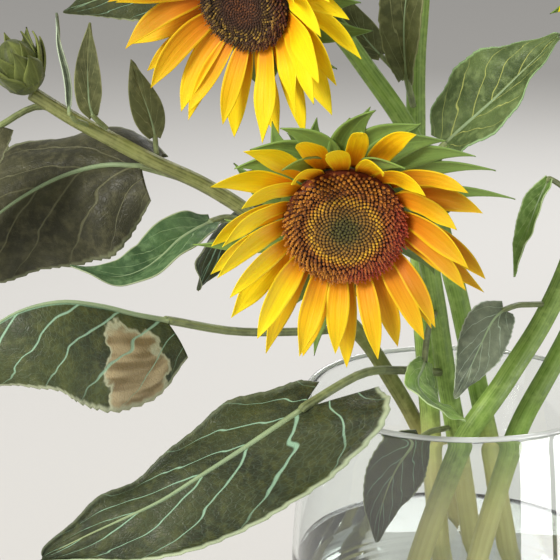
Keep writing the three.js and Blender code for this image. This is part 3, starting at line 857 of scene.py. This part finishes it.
def bent_strip(s, t, base, start, face, length, width, sag, twist, channel, hook, side_bend,
               outline=PETAL_OUTLINE, ridges=0.035, wave=0.0, phase=0.0):
    """The points of a petal or bract. s is the place across it and t along it. channel cups it, hook bends
    its tip back, and side_bend sways it."""
    stations = np.linspace(0, 1, STRIP_STEPS + 1)
    bend = DOWN * sag + unit(np.cross(face, start)) * side_bend
    ways = unit(start + np.outer(stations, bend) - np.outer(stations**3, face) * hook)
    line = base + np.concatenate([[[0, 0, 0]], np.cumsum(ways[:-1] * (length / STRIP_STEPS), axis=0)])
    side = unit(np.cross(face, ways))
    lift = np.cross(ways, side)
    turn = (twist * stations)[:, None]
    side, lift = side * np.cos(turn) + lift * np.sin(turn), lift * np.cos(turn) - side * np.sin(turn)
    half = spline(np.array(outline)[:, None], t)[:, 0] * width / 2
    grooves = ridges * np.cos(3 * math.pi * s) * smoothstep(0, 0.3, t) * smoothstep(1, 0.75, t)
    ripple = wave * s * np.sin(math.tau * (1.3 * t + phase)) * smoothstep(0, 0.4, t)
    rise = (channel * s**2 - grooves + ripple) * half

    def at_t(values):
        return np.stack([np.interp(t, stations, values[:, k]) for k in range(3)], axis=1)

    return at_t(line) + at_t(side) * (s * half)[:, None] + at_t(lift) * rise[:, None]


# %% Petal shape
RAYS = 17
RAY_WIDTH = 0.013
RAY_SAG = 0.7
# For the outer and then the inner whorl:
RAY_LENGTHS = (0.046, 0.046 * 0.97)
RAY_CUPS = (math.radians(22), math.radians(39))
ROOT_DEPTHS = (0.0008, 0.0018)
ROOT_HEIGHTS = (-0.0032, -0.0006)
# The angle round each head of the side whose rays are painted darker and warmer: painted shade.
SHADED_SIDE, OLD_SHADED_SIDE = math.radians(-14), math.radians(160)

petal_blank, PETAL_S, PETAL_T = sheet("petal_blank", 10, 22)


def petal(name, head, index, whorl, chance):
    """One ray. whorl is 0 for the outer one and 1 for the inner one. An older head's rays hang looser."""
    loose = 2.0 if head.old else 1.0
    angle = math.tau * (index + whorl / 2 + chance.uniform(-0.2, 0.2) * loose) / RAYS
    spoke = head.spoke(angle)
    start = head.way(spoke, RAY_CUPS[whorl] + chance.uniform(-0.12, 0.12))
    base = head.centre + spoke * (head.size * DISC_RADIUS - ROOT_DEPTHS[whorl])
    base = base + head.normal * (ROOT_HEIGHTS[whorl] * head.size)
    length = RAY_LENGTHS[whorl] * head.ray_size * chance.uniform(0.88, 1.09)
    piece = copy_of(petal_blank, name)
    place(piece, bent_strip(
        PETAL_S, PETAL_T, base, start, head.normal, length,
        width=RAY_WIDTH * head.ray_size * chance.uniform(0.66, 0.95), sag=RAY_SAG * chance.uniform(0.85, 1.2),
        twist=chance.uniform(-0.35, 0.35) * loose, channel=chance.uniform(0.1, 0.3),
        hook=chance.uniform(-0.15, 0.3), wave=chance.uniform(0.05, 0.25), phase=chance.random(),
        side_bend=chance.uniform(-0.2, 0.2) * loose))
    # Rays nearer that side get a higher value, for a darker, warmer colour: painted shade.
    shaded_side = OLD_SHADED_SIDE if head.old else SHADED_SIDE
    mark(piece, "warmth", 0.5 + 0.4 * math.cos(angle - shaded_side) + chance.uniform(-0.16, 0.16))
    mark(piece, "along", PETAL_T)
    return piece


# %% [markdown]
# ## The finish of a petal
# A ray is lemon yellow, deeper towards its root. The rays on one side of a head are coloured darker and
# warmer, golden to ochre and orange-brown at the root, with darker streaks: painted shade on that side. Fine
# fibres run from root to tip. Light comes through a ray a little, so it has a small subsurface part.

# %% Petal finish
ray_yellow, n, shader = material(
    "ray yellow", 0.5, Specular_IOR_Level=0.18, Subsurface_Weight=0.12, Subsurface_Scale=0.002
)
uv = n.coordinates("UV")
lengthways = placed(n, fibres, UV=uv)
along, warmth = n.attribute("along"), n.attribute("warmth")
lemon = n.ramp(
    along, (0.0, (0.70, 0.19, 0.004)), (0.2, (0.90, 0.40, 0.004)), (0.42, (0.98, 0.70, 0.005)),
    (1.0, (1.0, 0.80, 0.012))
)
golden = n.ramp(
    along, (0.0, (0.50, 0.090, 0.004)), (0.22, (0.82, 0.30, 0.005)), (0.6, (0.93, 0.52, 0.006)),
    (1.0, (0.97, 0.72, 0.010))
)
ochre = n.ramp(
    along, (0.0, (0.48, 0.060, 0.005)), (0.3, (0.62, 0.19, 0.008)), (0.7, (0.58, 0.30, 0.010)),
    (1.0, (0.76, 0.54, 0.016))
)
# The darker ochre colour and the stronger streaks on that side are painted shade.
ground = n.mix(n.span(warmth, 0.66, 1.0), n.mix(n.span(warmth, 0.25, 0.66), lemon, golden), ochre)
streaks = n.times(lengthways["Fibre"], n.span(warmth, 0.2, 0.8, 0.28, 0.62))
shaded = n.mix(streaks, ground, n.mix(0.6, ground, (0.50, 0.17, 0.004)))
rim = n.span(n.from_half(n.parts(uv)[0]), 0.36, 0.5)
n.link(n.mix(n.times(rim, 0.55), shaded, (0.97, 0.74, 0.015)), shader["Base Color"])
n.link(n.bump(lengthways["Height"], 0.45, 0.0004), shader["Normal"])
n.link(n.span(lengthways["Fibre"], 0, 1, 0.42, 0.6), shader["Roughness"])

# %% Grow the rays
PETAL_THICKNESS = 0.00035


def thicken(piece, thickness=PETAL_THICKNESS):
    use(piece, "SOLIDIFY", thickness=thickness, offset=0, use_even_offset=False)
    return piece


for order, head in enumerate(HEADS):
    chance = random.Random(100 + order)
    whorls = [[petal(f"petal_{whorl}_{i}", head, i, whorl, chance) for i in range(RAYS)] for whorl in (0, 1)]
    if head.name == "front":
        for i, piece in enumerate(whorls[0], start=1):
            node = f"ray_front_{i:02d}"
            finish_piece(thicken(join([piece], node + "_petal")), ray_yellow, "rays", node)
        inner = thicken(join(whorls[1], "inner_rays_front_petals"))
        finish_piece(inner, ray_yellow, "rays", "inner_rays_front")
    else:
        whole = thicken(join(whorls[0] + whorls[1], f"rays_{head.name}_petals"))
        finish_piece(whole, ray_yellow, "rays", "rays_" + head.name)
print(RAYS * 2, "rays on each head")

# %% [markdown]
# ## The disc of florets
# The middle of a sunflower is hundreds of small flowers, packed on the golden angle. Those at the rim are
# open, with dark tubes and golden tips. Further in they are buds, golden-brown and then olive green. Two
# small shapes, an open floret and a bud, are each made once with a few dozen faces and set on the dome by
# the hundred.

# %% Floret shapes
def floret_shape(sides, profile):
    """A small turned shape from (radius, height) pairs in units of its own size, closed at its top."""
    angles = math.tau * np.arange(sides) / sides
    verts = [(r * math.cos(angle), r * math.sin(angle), z) for r, z in profile for angle in angles]
    faces = []
    for first in range(0, len(verts) - sides, sides):
        for k in range(sides):
            a, b = first + k, first + (k + 1) % sides
            faces.append((a, b, b + sides, a + sides))
    last, top = len(verts) - sides, len(verts)
    verts.append((0, 0, profile[-1][1]))
    faces += [(last + k, last + (k + 1) % sides, top) for k in range(sides)]
    return np.array(verts), faces


BUD_FLORET = floret_shape(6, [(0.50, -0.4), (0.52, 0.3), (0.36, 0.75), (0.12, 1.0)])
OPEN_FLORET = floret_shape(
    8, [(0.34, -0.3), (0.30, 0.7), (0.52, 1.05), (0.24, 0.98), (0.17, 1.55), (0.22, 1.7)]
)
print("faces of a bud and of an open floret:", len(BUD_FLORET[1]), len(OPEN_FLORET[1]))

# %% Grow a disc
GOLDEN_ANGLE = math.radians(137.508)
DISC_HEIGHT = 0.008
DISC_FILL = 0.95
OPEN_FROM = 0.70


def dome_height(share):
    """The height of the disc's dome at a share of its radius, in shares of its full height."""
    dome = np.interp(share, [0, 0.5, 0.82, 0.97, 1.0], [1.0, 0.95, 0.72, 0.35, 0.0])
    return dome - 0.16 * np.exp(-((share / 0.2) ** 2))


def turned(angle, axis):
    """The matrix that turns rows of points about an axis."""
    return np.array(Matrix.Rotation(angle, 3, axis)).T


def dome_under(head):
    """The dome that the florets stand on."""
    dome = added(bpy.ops.mesh.primitive_uv_sphere_add, "dome", segments=64, ring_count=32, radius=1)
    flat = points_of(dome)
    reach = np.linalg.norm(flat[:, :2], axis=1)
    forward = np.where(flat[:, 2] > -0.2, dome_height(reach) * DISC_HEIGHT - 0.0006, -0.5 * DISC_HEIGHT)
    place(dome, head.at(np.column_stack([flat[:, :2] * DISC_RADIUS * 0.985, forward]) * head.size))
    for label, value in (("ring", reach), ("tip", 0.0), ("chance", 0.5), ("side", 0.0)):
        mark(dome, "floret_" + label, value)
    return dome


def grow_disc(head, count, seed):
    chance = np.random.default_rng(seed)
    dome = dome_under(head)
    points, faces = [], []
    marks = dict(ring=[], tip=[], chance=[], side=[])
    total = 0
    spacing = DISC_RADIUS * math.sqrt(math.pi / count)
    for i in range(count):
        share = math.sqrt((i + 0.5) / count) * DISC_FILL
        angle = i * GOLDEN_ANGLE
        outer = share > OPEN_FROM + chance.uniform(-0.03, 0.03)
        shape, shape_faces = OPEN_FLORET if outer else BUD_FLORET
        size = spacing * (1.0 if outer else 0.98) * chance.uniform(0.9, 1.08)
        rise = 1.5 + 0.9 * (share - OPEN_FROM) if outer else 0.75 + 1.5 * max(0, share - 0.32)
        tall = spacing * rise * chance.uniform(0.75, 1.25)
        lean = 0.6 * share**3 + chance.uniform(-0.1, 0.1)
        spin = chance.uniform(0, math.tau)
        standing = shape * [size, size, tall] @ turned(spin, "Z") @ turned(lean, "Y")
        spot = [share * DISC_RADIUS, 0, dome_height(share) * DISC_HEIGHT]
        points.append((standing + spot) @ turned(angle, "Z"))
        faces += [tuple(v + total for v in face) for face in shape_faces]
        total += len(shape)
        tip = (shape[:, 2] - shape[:, 2].min()) / np.ptp(shape[:, 2])
        for label, value in (("ring", share), ("tip", tip), ("chance", chance.random()),
                             ("side", math.cos(angle + 0.5))):
            marks[label].append(np.broadcast_to(value, len(shape)))
    florets = built("florets", head.at(np.concatenate(points) * head.size).tolist(), [], faces)
    for label, values in marks.items():
        mark(florets, "floret_" + label, np.concatenate(values))
    return join([dome, florets], f"disc_{head.name}_florets")


# %% [markdown]
# ## The finish of the disc
# Each floret carries four numbers: how far out it stands, how near a point is to its tip, a random one, and
# which side of the disc it is on. Colour ramps turn these into the rings of a sunflower's eye: olive in the
# middle, golden, brown with golden tips, and maroon at the rim. The side that it is on lays a rosy painted
# shade over one side of the rim.


# %% Disc finish
# ROSE is the colour of a painted shade over one side of the disc's rim.
ROSE, SHADOW = (0.42, 0.020, 0.022), (0.06, 0.025, 0.01)


def disc_finish(name, foot_stops, tip_stops, rosy_shade, dull):
    """rosy_shade is how strongly one side of the rim is painted rosy: a painted shade. dull is the share of
    florets whose tips stay dull.
    """
    made, n, shader = material(name, 0.75, Specular_IOR_Level=0.25, Sheen_Weight=0.2)
    ring, tip, chance, side = (n.attribute("floret_" + label) for label in ("ring", "tip", "chance", "side"))
    foot, top = n.ramp(ring, *foot_stops), n.ramp(ring, *tip_stops)
    amount = n.times(n.span(tip, 0.35, 0.9), n.span(chance, dull, dull + 0.4, 0.45 - 0.7 * dull, 1.0))
    # One side of the rim is painted rosy: painted shade.
    rosy = n.times(n.times(n.span(side, 0.1, 0.9), n.span(ring, 0.58, 0.9)), rosy_shade)
    tinted = n.mix(rosy, n.mix(amount, foot, top), ROSE)
    where = n.coordinates("Object")
    grain = n.noise(where, 1500, 3)
    n.link(n.mix(n.span(grain, 0.35, 0.65, 0.0, 0.35), tinted, SHADOW), shader["Base Color"])
    n.link(n.bump(grain, 0.4, 0.0003), shader["Normal"])
    n.link(n.span(n.noise(where, 400), 0.3, 0.7, 0.6, 0.9), shader["Roughness"])
    return made


# %% Grow the discs
young_disc = disc_finish(
    "disc with a green eye",
    [(0.0, (0.045, 0.052, 0.010)), (0.28, (0.10, 0.070, 0.012)), (0.50, (0.17, 0.070, 0.010)),
     (0.75, (0.17, 0.034, 0.008)), (1.0, (0.19, 0.034, 0.008))],
    [(0.0, (0.085, 0.090, 0.018)), (0.20, (0.12, 0.110, 0.016)), (0.28, (0.30, 0.170, 0.022)),
     (0.44, (0.38, 0.19, 0.020)), (0.50, (0.62, 0.32, 0.020)), (0.55, (0.90, 0.54, 0.030)),
     (0.61, (0.66, 0.30, 0.018)), (0.67, (0.44, 0.14, 0.012)), (0.84, (0.78, 0.33, 0.024)),
     (1.0, (0.70, 0.26, 0.018))],
    rosy_shade=0.8, dull=0.1
)
old_disc = disc_finish(
    "dark disc",
    [(0.0, (0.085, 0.022, 0.008)), (0.4, (0.050, 0.018, 0.008)), (1.0, (0.014, 0.008, 0.005))],
    [(0.0, (0.22, 0.075, 0.022)), (0.30, (0.17, 0.060, 0.018)), (0.45, (0.045, 0.018, 0.008)),
     (0.7, (0.62, 0.39, 0.060)), (0.82, (0.26, 0.14, 0.024)), (1.0, (0.40, 0.23, 0.026))],
    rosy_shade=0.15, dull=0.5
)

FLORETS = 900
for seed, head in enumerate(HEADS):
    disc = grow_disc(head, FLORETS, seed)
    disc_colours = young_disc if head.name in ("front", "right") else old_disc
    finish_piece(disc, disc_colours, "discs", "disc_" + head.name)
    print(disc.name, len(disc.data.polygons), "faces")

# %% [markdown]
# ## Receptacles and bracts
# Behind the florets the head is a green cushion, wrapped in leafy pointed bracts in overlapping rows. The
# cushion is a spun profile and each bract is a bent strip, as the petals are, but thicker and with a long
# drawn-out tip.


# %% Bract finish
def bract_finish(name, body, dark, light, young):
    made, n, shader = material(name, 0.6, Specular_IOR_Level=0.3, Sheen_Weight=0.1)
    uv, where = n.coordinates("UV"), n.coordinates("Object")
    lengthways = placed(n, fibres, UV=uv)
    across = n.from_half(n.parts(uv)[0])
    ribbed = n.mix(n.span(across, 0.0, 0.07, 0.5, 0.0), blotched(n, where, body, dark, light), young)
    streaked = n.mix(n.times(lengthways["Fibre"], 0.35), ribbed, light)
    youthful = n.mix(n.times(n.attribute("youth"), 0.6), streaked, young)
    n.link(n.mix(n.span(across, 0.40, 0.5, 0.0, 0.5), youthful, young), shader["Base Color"])
    n.link(n.bump(n.plus(lengthways["Height"], n.noise(where, 900)), 0.5, 0.0005), shader["Normal"])
    n.link(n.span(lengthways["Fibre"], 0, 1, 0.5, 0.7), shader["Roughness"])
    return made


bract_green = bract_finish(
    "bract green", (0.082, 0.150, 0.020), (0.040, 0.076, 0.011), (0.18, 0.27, 0.042), (0.25, 0.40, 0.085)
)
bud_green = bract_finish(
    "bud green", (0.066, 0.092, 0.016), (0.028, 0.038, 0.007), (0.14, 0.17, 0.034), (0.27, 0.31, 0.080)
)


# %% Spinning a profile
def outline_of(name, points):
    """A piece with nothing but a line of edges through its points."""
    return built(name, points, [(i, i + 1) for i in range(len(points) - 1)], [])


def spun(profile, name, steps):
    """A profile, turned once round the z axis."""
    choose(profile)
    bpy.ops.object.mode_set(mode="EDIT")
    bpy.ops.mesh.select_all(action="SELECT")
    bpy.ops.mesh.spin(steps=steps, angle=math.tau, center=(0, 0, 0), axis=(0, 0, 1))
    bpy.ops.mesh.select_all(action="SELECT")
    bpy.ops.mesh.remove_doubles(threshold=1e-6)
    bpy.ops.mesh.normals_make_consistent(inside=False)
    bpy.ops.object.mode_set(mode="OBJECT")
    profile.name = profile.data.name = name
    return profile


def cushion(head):
    """The receptacle's bowl, with its rim round the florets."""
    rim_radius, rim_top = 0.0324, -0.0044
    outline = [(0.0, -0.020), (0.0066, -0.020), (0.0135, -0.0168), (0.0225, -0.0125), (0.0295, -0.0085),
               (0.0322, -0.0058), (rim_radius, rim_top), (0.029, rim_top + 0.0004), (0.0, rim_top + 0.0004)]
    bowl = spun(outline_of("cushion", [(r, 0, z) for r, z in outline]), "cushion", 40)
    place(bowl, head.at(points_of(bowl) * head.size))
    mark(bowl, "youth", 0.3)
    return bowl


# %% One bract
BRACT_OUTLINE = [0.70, 0.92, 1.0, 0.99, 0.90, 0.74, 0.53, 0.32, 0.14, 0.0]
BRACT_THICKNESS = 0.0008

bract_blank, BRACT_S, BRACT_T = sheet("bract_blank", 6, 14)


def bract(base, start, face, length, width, chance, sag=0.3, hook=0.25, side_bend=0.0, youth=None):
    piece = copy_of(bract_blank, "bract")
    place(piece, bent_strip(
        BRACT_S, BRACT_T, base, start, face, length, width, sag,
        twist=chance.uniform(-0.3, 0.3), channel=0.35, hook=hook + chance.uniform(-0.4, 0.4),
        side_bend=side_bend + chance.uniform(-0.3, 0.3), outline=BRACT_OUTLINE, ridges=0.02))
    mark(piece, "youth", chance.uniform(0, 0.7) if youth is None else youth)
    return piece


# %% [markdown]
# The front head also has a crest of long bracts that show past its rays. Each was placed one by one.

# %% Receptacles
BRACTS_IN_A_ROW = 13
BRACT_ROWS = (
    dict(reach=0.026, back=0.0085, lean=-12, length=0.031),
    dict(reach=0.021, back=0.013, lean=-34, length=0.027),
)
# Degrees round the head, length, width, lean, bend to the side, bend to the back, and how light a green.
CREST = (
    (150, 0.036, 0.012, -4, 0.5, 0.1, 0.3),
    (133, 0.036, 0.014, 2, 1.4, 0.0, 0.9),
    (118, 0.036, 0.015, 0, 2.0, -0.2, 0.5),
    (104, 0.034, 0.015, 6, 1.4, -0.5, 1.0),
    (92, 0.036, 0.016, 2, -0.9, -0.3, 0.4),
    (80, 0.040, 0.015, 4, -1.9, -0.2, 0.8),
    (67, 0.042, 0.014, 2, -2.0, 0.0, 0.5),
    (52, 0.048, 0.011, 0, -1.3, 0.1, 1.2),
    (38, 0.052, 0.008, 0, -0.9, 0.2, 1.3),
    (18, 0.056, 0.007, -4, -0.2, 0.2, 1.2),
    (113, 0.036, 0.011, 46, 0.9, -0.5, 1.0),
    (72, 0.034, 0.010, 48, -0.8, -0.5, 1.0),
    (258, 0.062, 0.013, -16, 0.2, 0.1, 1.4),
    (203, 0.050, 0.011, -8, -0.5, 0.2, 0.9),
)


def row_of_bracts(head, row, reach, back, lean, length, chance):
    for i in range(BRACTS_IN_A_ROW):
        spoke = head.spoke(math.tau * (i + row / 2 + chance.uniform(-0.15, 0.15)) / BRACTS_IN_A_ROW)
        start = head.way(spoke, math.radians(lean + chance.uniform(-9, 9)))
        base = head.centre + (spoke * reach - head.normal * back) * head.size
        grown = length * head.ray_size * chance.uniform(1.0, 1.3) * (1 - 0.2 * max(0, spoke[2]))
        width = 0.013 * head.ray_size * chance.uniform(0.85, 1.15)
        yield bract(base, start, head.normal, grown, width, chance, side_bend=chance.uniform(-0.9, 0.9))


def crest_of_bracts(head, chance):
    for degrees, length, width, lean, side_bend, hook, youth in CREST:
        spoke = head.spoke(math.radians(degrees))
        base = head.centre + spoke * 0.028 - head.normal * 0.0085
        start = head.way(spoke, math.radians(lean))
        shape = dict(hook=hook, side_bend=side_bend, youth=youth)
        yield bract(base, start, head.normal, length, width, chance, **shape)


def grow_receptacle(head, seed):
    chance = random.Random(seed)
    bracts = []
    for row, shape in enumerate(BRACT_ROWS):
        bracts += row_of_bracts(head, row, chance=chance, **shape)
    if head.name == "front":
        bracts += crest_of_bracts(head, chance)
    leafy = thicken(join(bracts, "bracts"), BRACT_THICKNESS)
    return join([cushion(head), leafy], f"receptacle_{head.name}_bracts")


for seed, head in enumerate(HEADS, start=40):
    finish_piece(grow_receptacle(head, seed), bract_green, "receptacles", "receptacle_" + head.name)
print(len(HEADS), "receptacles")

# %% [markdown]
# ## The bud
# A closed bud is an egg of folded florets, held in rows of pointed bracts. Its axis runs from its stalk's
# tip to the middle of the frame's bud.

# %% The bud's egg
BUD_BACK, BUD_FRONT, BUD_RADIUS = 0.011, 0.016, 0.0105
BUD_SIZE = 1.08

bud_middle = points_of(frame["nodes"]["bud"]).mean(axis=0)
stalk_start, _, stalk_end = rings("stalk_bud")
stalk_tip = min((stalk_start, stalk_end), key=lambda end: np.linalg.norm(end - bud_middle))
axis = unit(bud_middle - stalk_tip)
bud = Head("bud", stalk_tip + axis * (BUD_BACK * BUD_SIZE + 0.0006), axis, BUD_SIZE)

egg = added(bpy.ops.mesh.primitive_uv_sphere_add, "egg", segments=32, ring_count=20, radius=1)
flat = points_of(egg)
tall = np.where(flat[:, 2] > 0, BUD_FRONT, BUD_BACK)
swirl = 1 + 0.03 * np.cos(9 * np.arctan2(flat[:, 1], flat[:, 0]) + 3 * flat[:, 2])
round_egg = np.column_stack([flat[:, :2] * BUD_RADIUS * swirl[:, None], flat[:, 2] * tall])
place(egg, bud.at(round_egg * bud.size))
mark(egg, "youth", 0.1)
print("the bud is at", bud.centre.round(3))

# %% The bud's bracts
BUD_BRACTS_IN_A_ROW = 5
BUD_BRACT_WIDTH = 0.0125

chance = random.Random(9)
bracts = []
for lean, length, out in ((84, 0.0235, 0.0080), (76, 0.022, 0.0088), (62, 0.018, 0.0088)):
    for i in range(BUD_BRACTS_IN_A_ROW):
        spoke = bud.spoke(math.tau * (i + lean / 20) / BUD_BRACTS_IN_A_ROW + chance.uniform(-0.15, 0.15))
        start = bud.way(spoke, math.radians(lean + chance.uniform(-5, 5)))
        base = bud.centre + (spoke * out - bud.normal * 0.006) * bud.size
        size = dict(length=length * bud.size, width=BUD_BRACT_WIDTH * bud.size)
        bracts.append(bract(base, start, -spoke, chance=chance, sag=0.05, hook=-0.25, **size))
whole = join([egg, thicken(join(bracts, "bracts"), BRACT_THICKNESS)], "bud_bracts")
finish_piece(whole, bud_green, "receptacles", "bud")
for blank in (petal_blank, bract_blank):
    bpy.data.meshes.remove(blank.data)
print(whole.name, len(whole.data.polygons), "faces")

# %% [markdown]
# ## The glass vase
# Blown glass has a smooth turned wall, a rounded lip and a thick foot. The frame's vase has the true
# profile, at a coarse spin. A copy keeps only the profile on its front, which is spun again with many more
# steps and rounded.

# %% Glass
glass, n, shader = material("clear glass", 0.0, Transmission_Weight=1.0, IOR=1.5, Specular_IOR_Level=0.5)
where = n.coordinates("Object")
n.link(n.mix(n.noise(where, 18, 2), (0.97, 0.99, 0.98), (0.93, 0.97, 0.955)), shader["Base Color"])
n.link(n.span(n.noise(where, 55, 4), 0.55, 0.8, 0.0, 0.035), shader["Roughness"])
n.link(n.bump(n.noise(where, 26, 1), 0.05, 0.001), shader["Normal"])


def profile_of(node):
    """A copy of a turned node that keeps only the edges on its front half plane."""
    profile = copy_of(frame["nodes"][node], "profile")
    profile.parent = None
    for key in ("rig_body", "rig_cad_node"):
        del profile[key]
    work = bmesh.new()
    work.from_mesh(profile.data)
    bmesh.ops.remove_doubles(work, verts=work.verts, dist=1e-6)
    away = [v for v in work.verts if abs(v.co.x) > 1e-5 or v.co.y > 1e-5]
    bmesh.ops.delete(work, geom=away, context="VERTS")
    bmesh.ops.delete(work, geom=work.faces[:], context="FACES_ONLY")
    work.to_mesh(profile.data)
    work.free()
    return profile


VASE_STEPS = 96
vase = spun(profile_of("vase"), "vase_glass", VASE_STEPS)
use(vase, "SUBSURF", levels=2, render_levels=2)
finish_piece(vase, glass, "vase", "vase")
print("vase", len(vase.data.polygons), "faces")

# %% [markdown]
# The lip of a blown vase is melted smooth in a flame, which leaves a bead. The bead has a pale, only partly
# clear finish, a painted highlight that runs all round it.

# %% The lip
LIP_RADIUS, BEAD_RADIUS = 0.0809, 0.0014
# The lip's finish is pale and only partly clear: a painted highlight all round the rim.
lip_highlight_glass, n, shader = material("melted lip", 0.15, Transmission_Weight=0.3, IOR=1.5, Coat_Weight=0.5)
where = n.coordinates("Object")
n.link(n.mix(n.noise(where, 60, 2), (0.98, 1.0, 0.99), (0.88, 0.95, 0.92)), shader["Base Color"])
n.link(n.bump(n.noise(where, 90, 2), 0.15, 0.0005), shader["Normal"])
lip = added(
    bpy.ops.mesh.primitive_torus_add, "vase_lip", location=(0, 0, RIM_HEIGHT - BEAD_RADIUS),
    major_radius=LIP_RADIUS, minor_radius=BEAD_RADIUS, major_segments=144, minor_segments=16
)
bpy.ops.object.transform_apply(location=True, rotation=False, scale=False)
finish_piece(lip, lip_highlight_glass, "vase", "vase")
print("the lip is at", round(RIM_HEIGHT * 1000), "mm")

# %% [markdown]
# ## The water
# Where water touches glass there is no air between them. So the water's side lies a hair inside the glass,
# and the renderer sees one border. Its top is level and climbs a little at the wall, as water does.

# %% Water
water_clear, n, shader = material("water", 0.0, Transmission_Weight=1.0, IOR=1.33)
where = n.coordinates("Object")
n.link(n.mix(n.noise(where, 14, 2), (0.93, 0.96, 0.93), (0.89, 0.94, 0.90)), shader["Base Color"])
n.link(n.bump(n.noise(where, 30, 1), 0.02, 0.001), shader["Normal"])

water_low, water_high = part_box("water")
wall = points_of(vase)


def inner_radius(z):
    """The radius of the glass's inner face at a height."""
    near = wall[np.abs(wall[:, 2] - z) < 0.006]
    reach = np.linalg.norm(near[:, :2], axis=1)
    return reach[reach > 0.03].min()


WALL_OVERLAP, FLOOR_OVERLAP = 0.0004, 0.0002
CORNER_HEIGHT, CORNER_WIDTH = 0.004, 0.006
CLIMB = 0.0012

floor_height, corner_height = water_low.z - FLOOR_OVERLAP, water_low.z + CORNER_HEIGHT
side_heights = np.linspace(corner_height, water_high.z, 24)
wet_wall = [(inner_radius(z) + WALL_OVERLAP, z) for z in side_heights]
edge = wet_wall.pop()[0]
outline = [(0.0, floor_height), (inner_radius(corner_height) - CORNER_WIDTH, floor_height)] + wet_wall
outline += [(edge, water_high.z + CLIMB), (edge - CLIMB, water_high.z + CLIMB / 3)]
outline += [(edge - 0.004, water_high.z), (0.0, water_high.z)]
water = spun(outline_of("water_profile", [(0, -r, z) for r, z in outline]), "vase_water", VASE_STEPS)
finish_piece(water, water_clear, "water", "water")
print("the water stands", round(water_high.z * 1000), "mm high")

# %% [markdown]
# ## The studio
# A plain pale floor that runs out of sight, a large soft light from the upper left, and weaker ones from
# the right and from behind.

# %% Floor and sky
floor = added(bpy.ops.mesh.primitive_plane_add, "floor", size=40)
floor_finish, n, shader = material("pale floor", 0.9, Specular_IOR_Level=0.1)
shader["Base Color"].default_value = (0.74, 0.73, 0.71, 1)
floor.data.materials.append(floor_finish)

world = bpy.context.scene.world or bpy.data.worlds.new("World")
bpy.context.scene.world = world
world.use_nodes = True
world.node_tree.nodes["Background"].inputs[0].default_value = (1.0, 0.985, 0.96, 1)
world.node_tree.nodes["Background"].inputs[1].default_value = 0.40
print(floor.name, "and the sky are set")


# %% Soft lights
def softbox(name, location, target, width, height, watts, color=(1, 1, 1)):
    bpy.ops.object.light_add(type="AREA", location=location)
    light = bpy.context.object
    light.name = name
    light.data.shape = "RECTANGLE"
    light.data.size, light.data.size_y = width, height
    light.data.energy = watts
    light.data.color = color
    light.rotation_euler = (Vector(target) - Vector(location)).to_track_quat("-Z", "Y").to_euler()
    return light


MIDDLE = (-0.05, 0, 0.33)
softbox("key", (-1.6, -1.5, 1.5), MIDDLE, 0.8, 0.8, 58, (1.0, 0.965, 0.90))
softbox("fill", (1.6, -1.6, 0.9), MIDDLE, 1.4, 1.4, 8)
softbox("rim", (0.5, 1.7, 1.5), MIDDLE, 1.0, 1.0, 18)
print("three soft lights")

# %% [markdown]
# A glass vase is seen by what it mirrors. Two bright cards stand where its right side shows them to the
# camera, as the two panes of a window. Only glossy surfaces show them.

# %% The window
WINDOW_AWAY, WINDOW_DROP, WINDOW_HEIGHT = 0.4, 0.0325, 0.133
WINDOW_PANES = ((-0.188, 0.065), (-0.026, 0.19))
WATTS_PER_METRE = 6
GLANCE_RIGHT, GLANCE_DOWN = 0.135, 0.118

camera_up = Vector((0, math.sin(LOOK_DOWN), math.cos(LOOK_DOWN)))
glance = (Vector((GLANCE_RIGHT, 0, 0)) - back - camera_up * GLANCE_DOWN).normalized()
_, spot, slope, _ = vase.ray_cast(camera.location, glance)
mirrored = glance.reflect(slope)
sideways = mirrored.cross(Vector((0, 0, 1))).normalized()
for offset, width in WINDOW_PANES:
    stand = spot + mirrored * WINDOW_AWAY + sideways * offset - Vector((0, 0, WINDOW_DROP))
    pane = softbox("window", stand, spot, width, WINDOW_HEIGHT, WATTS_PER_METRE * width)
    pane.visible_camera = pane.visible_diffuse = pane.visible_transmission = False
print("the window is mirrored at", [round(x, 3) for x in spot])

# %% [markdown]
# ## Colours
# The plain view transform shows each colour as it is given.

# %% View
bpy.context.scene.view_settings.view_transform = "Standard"
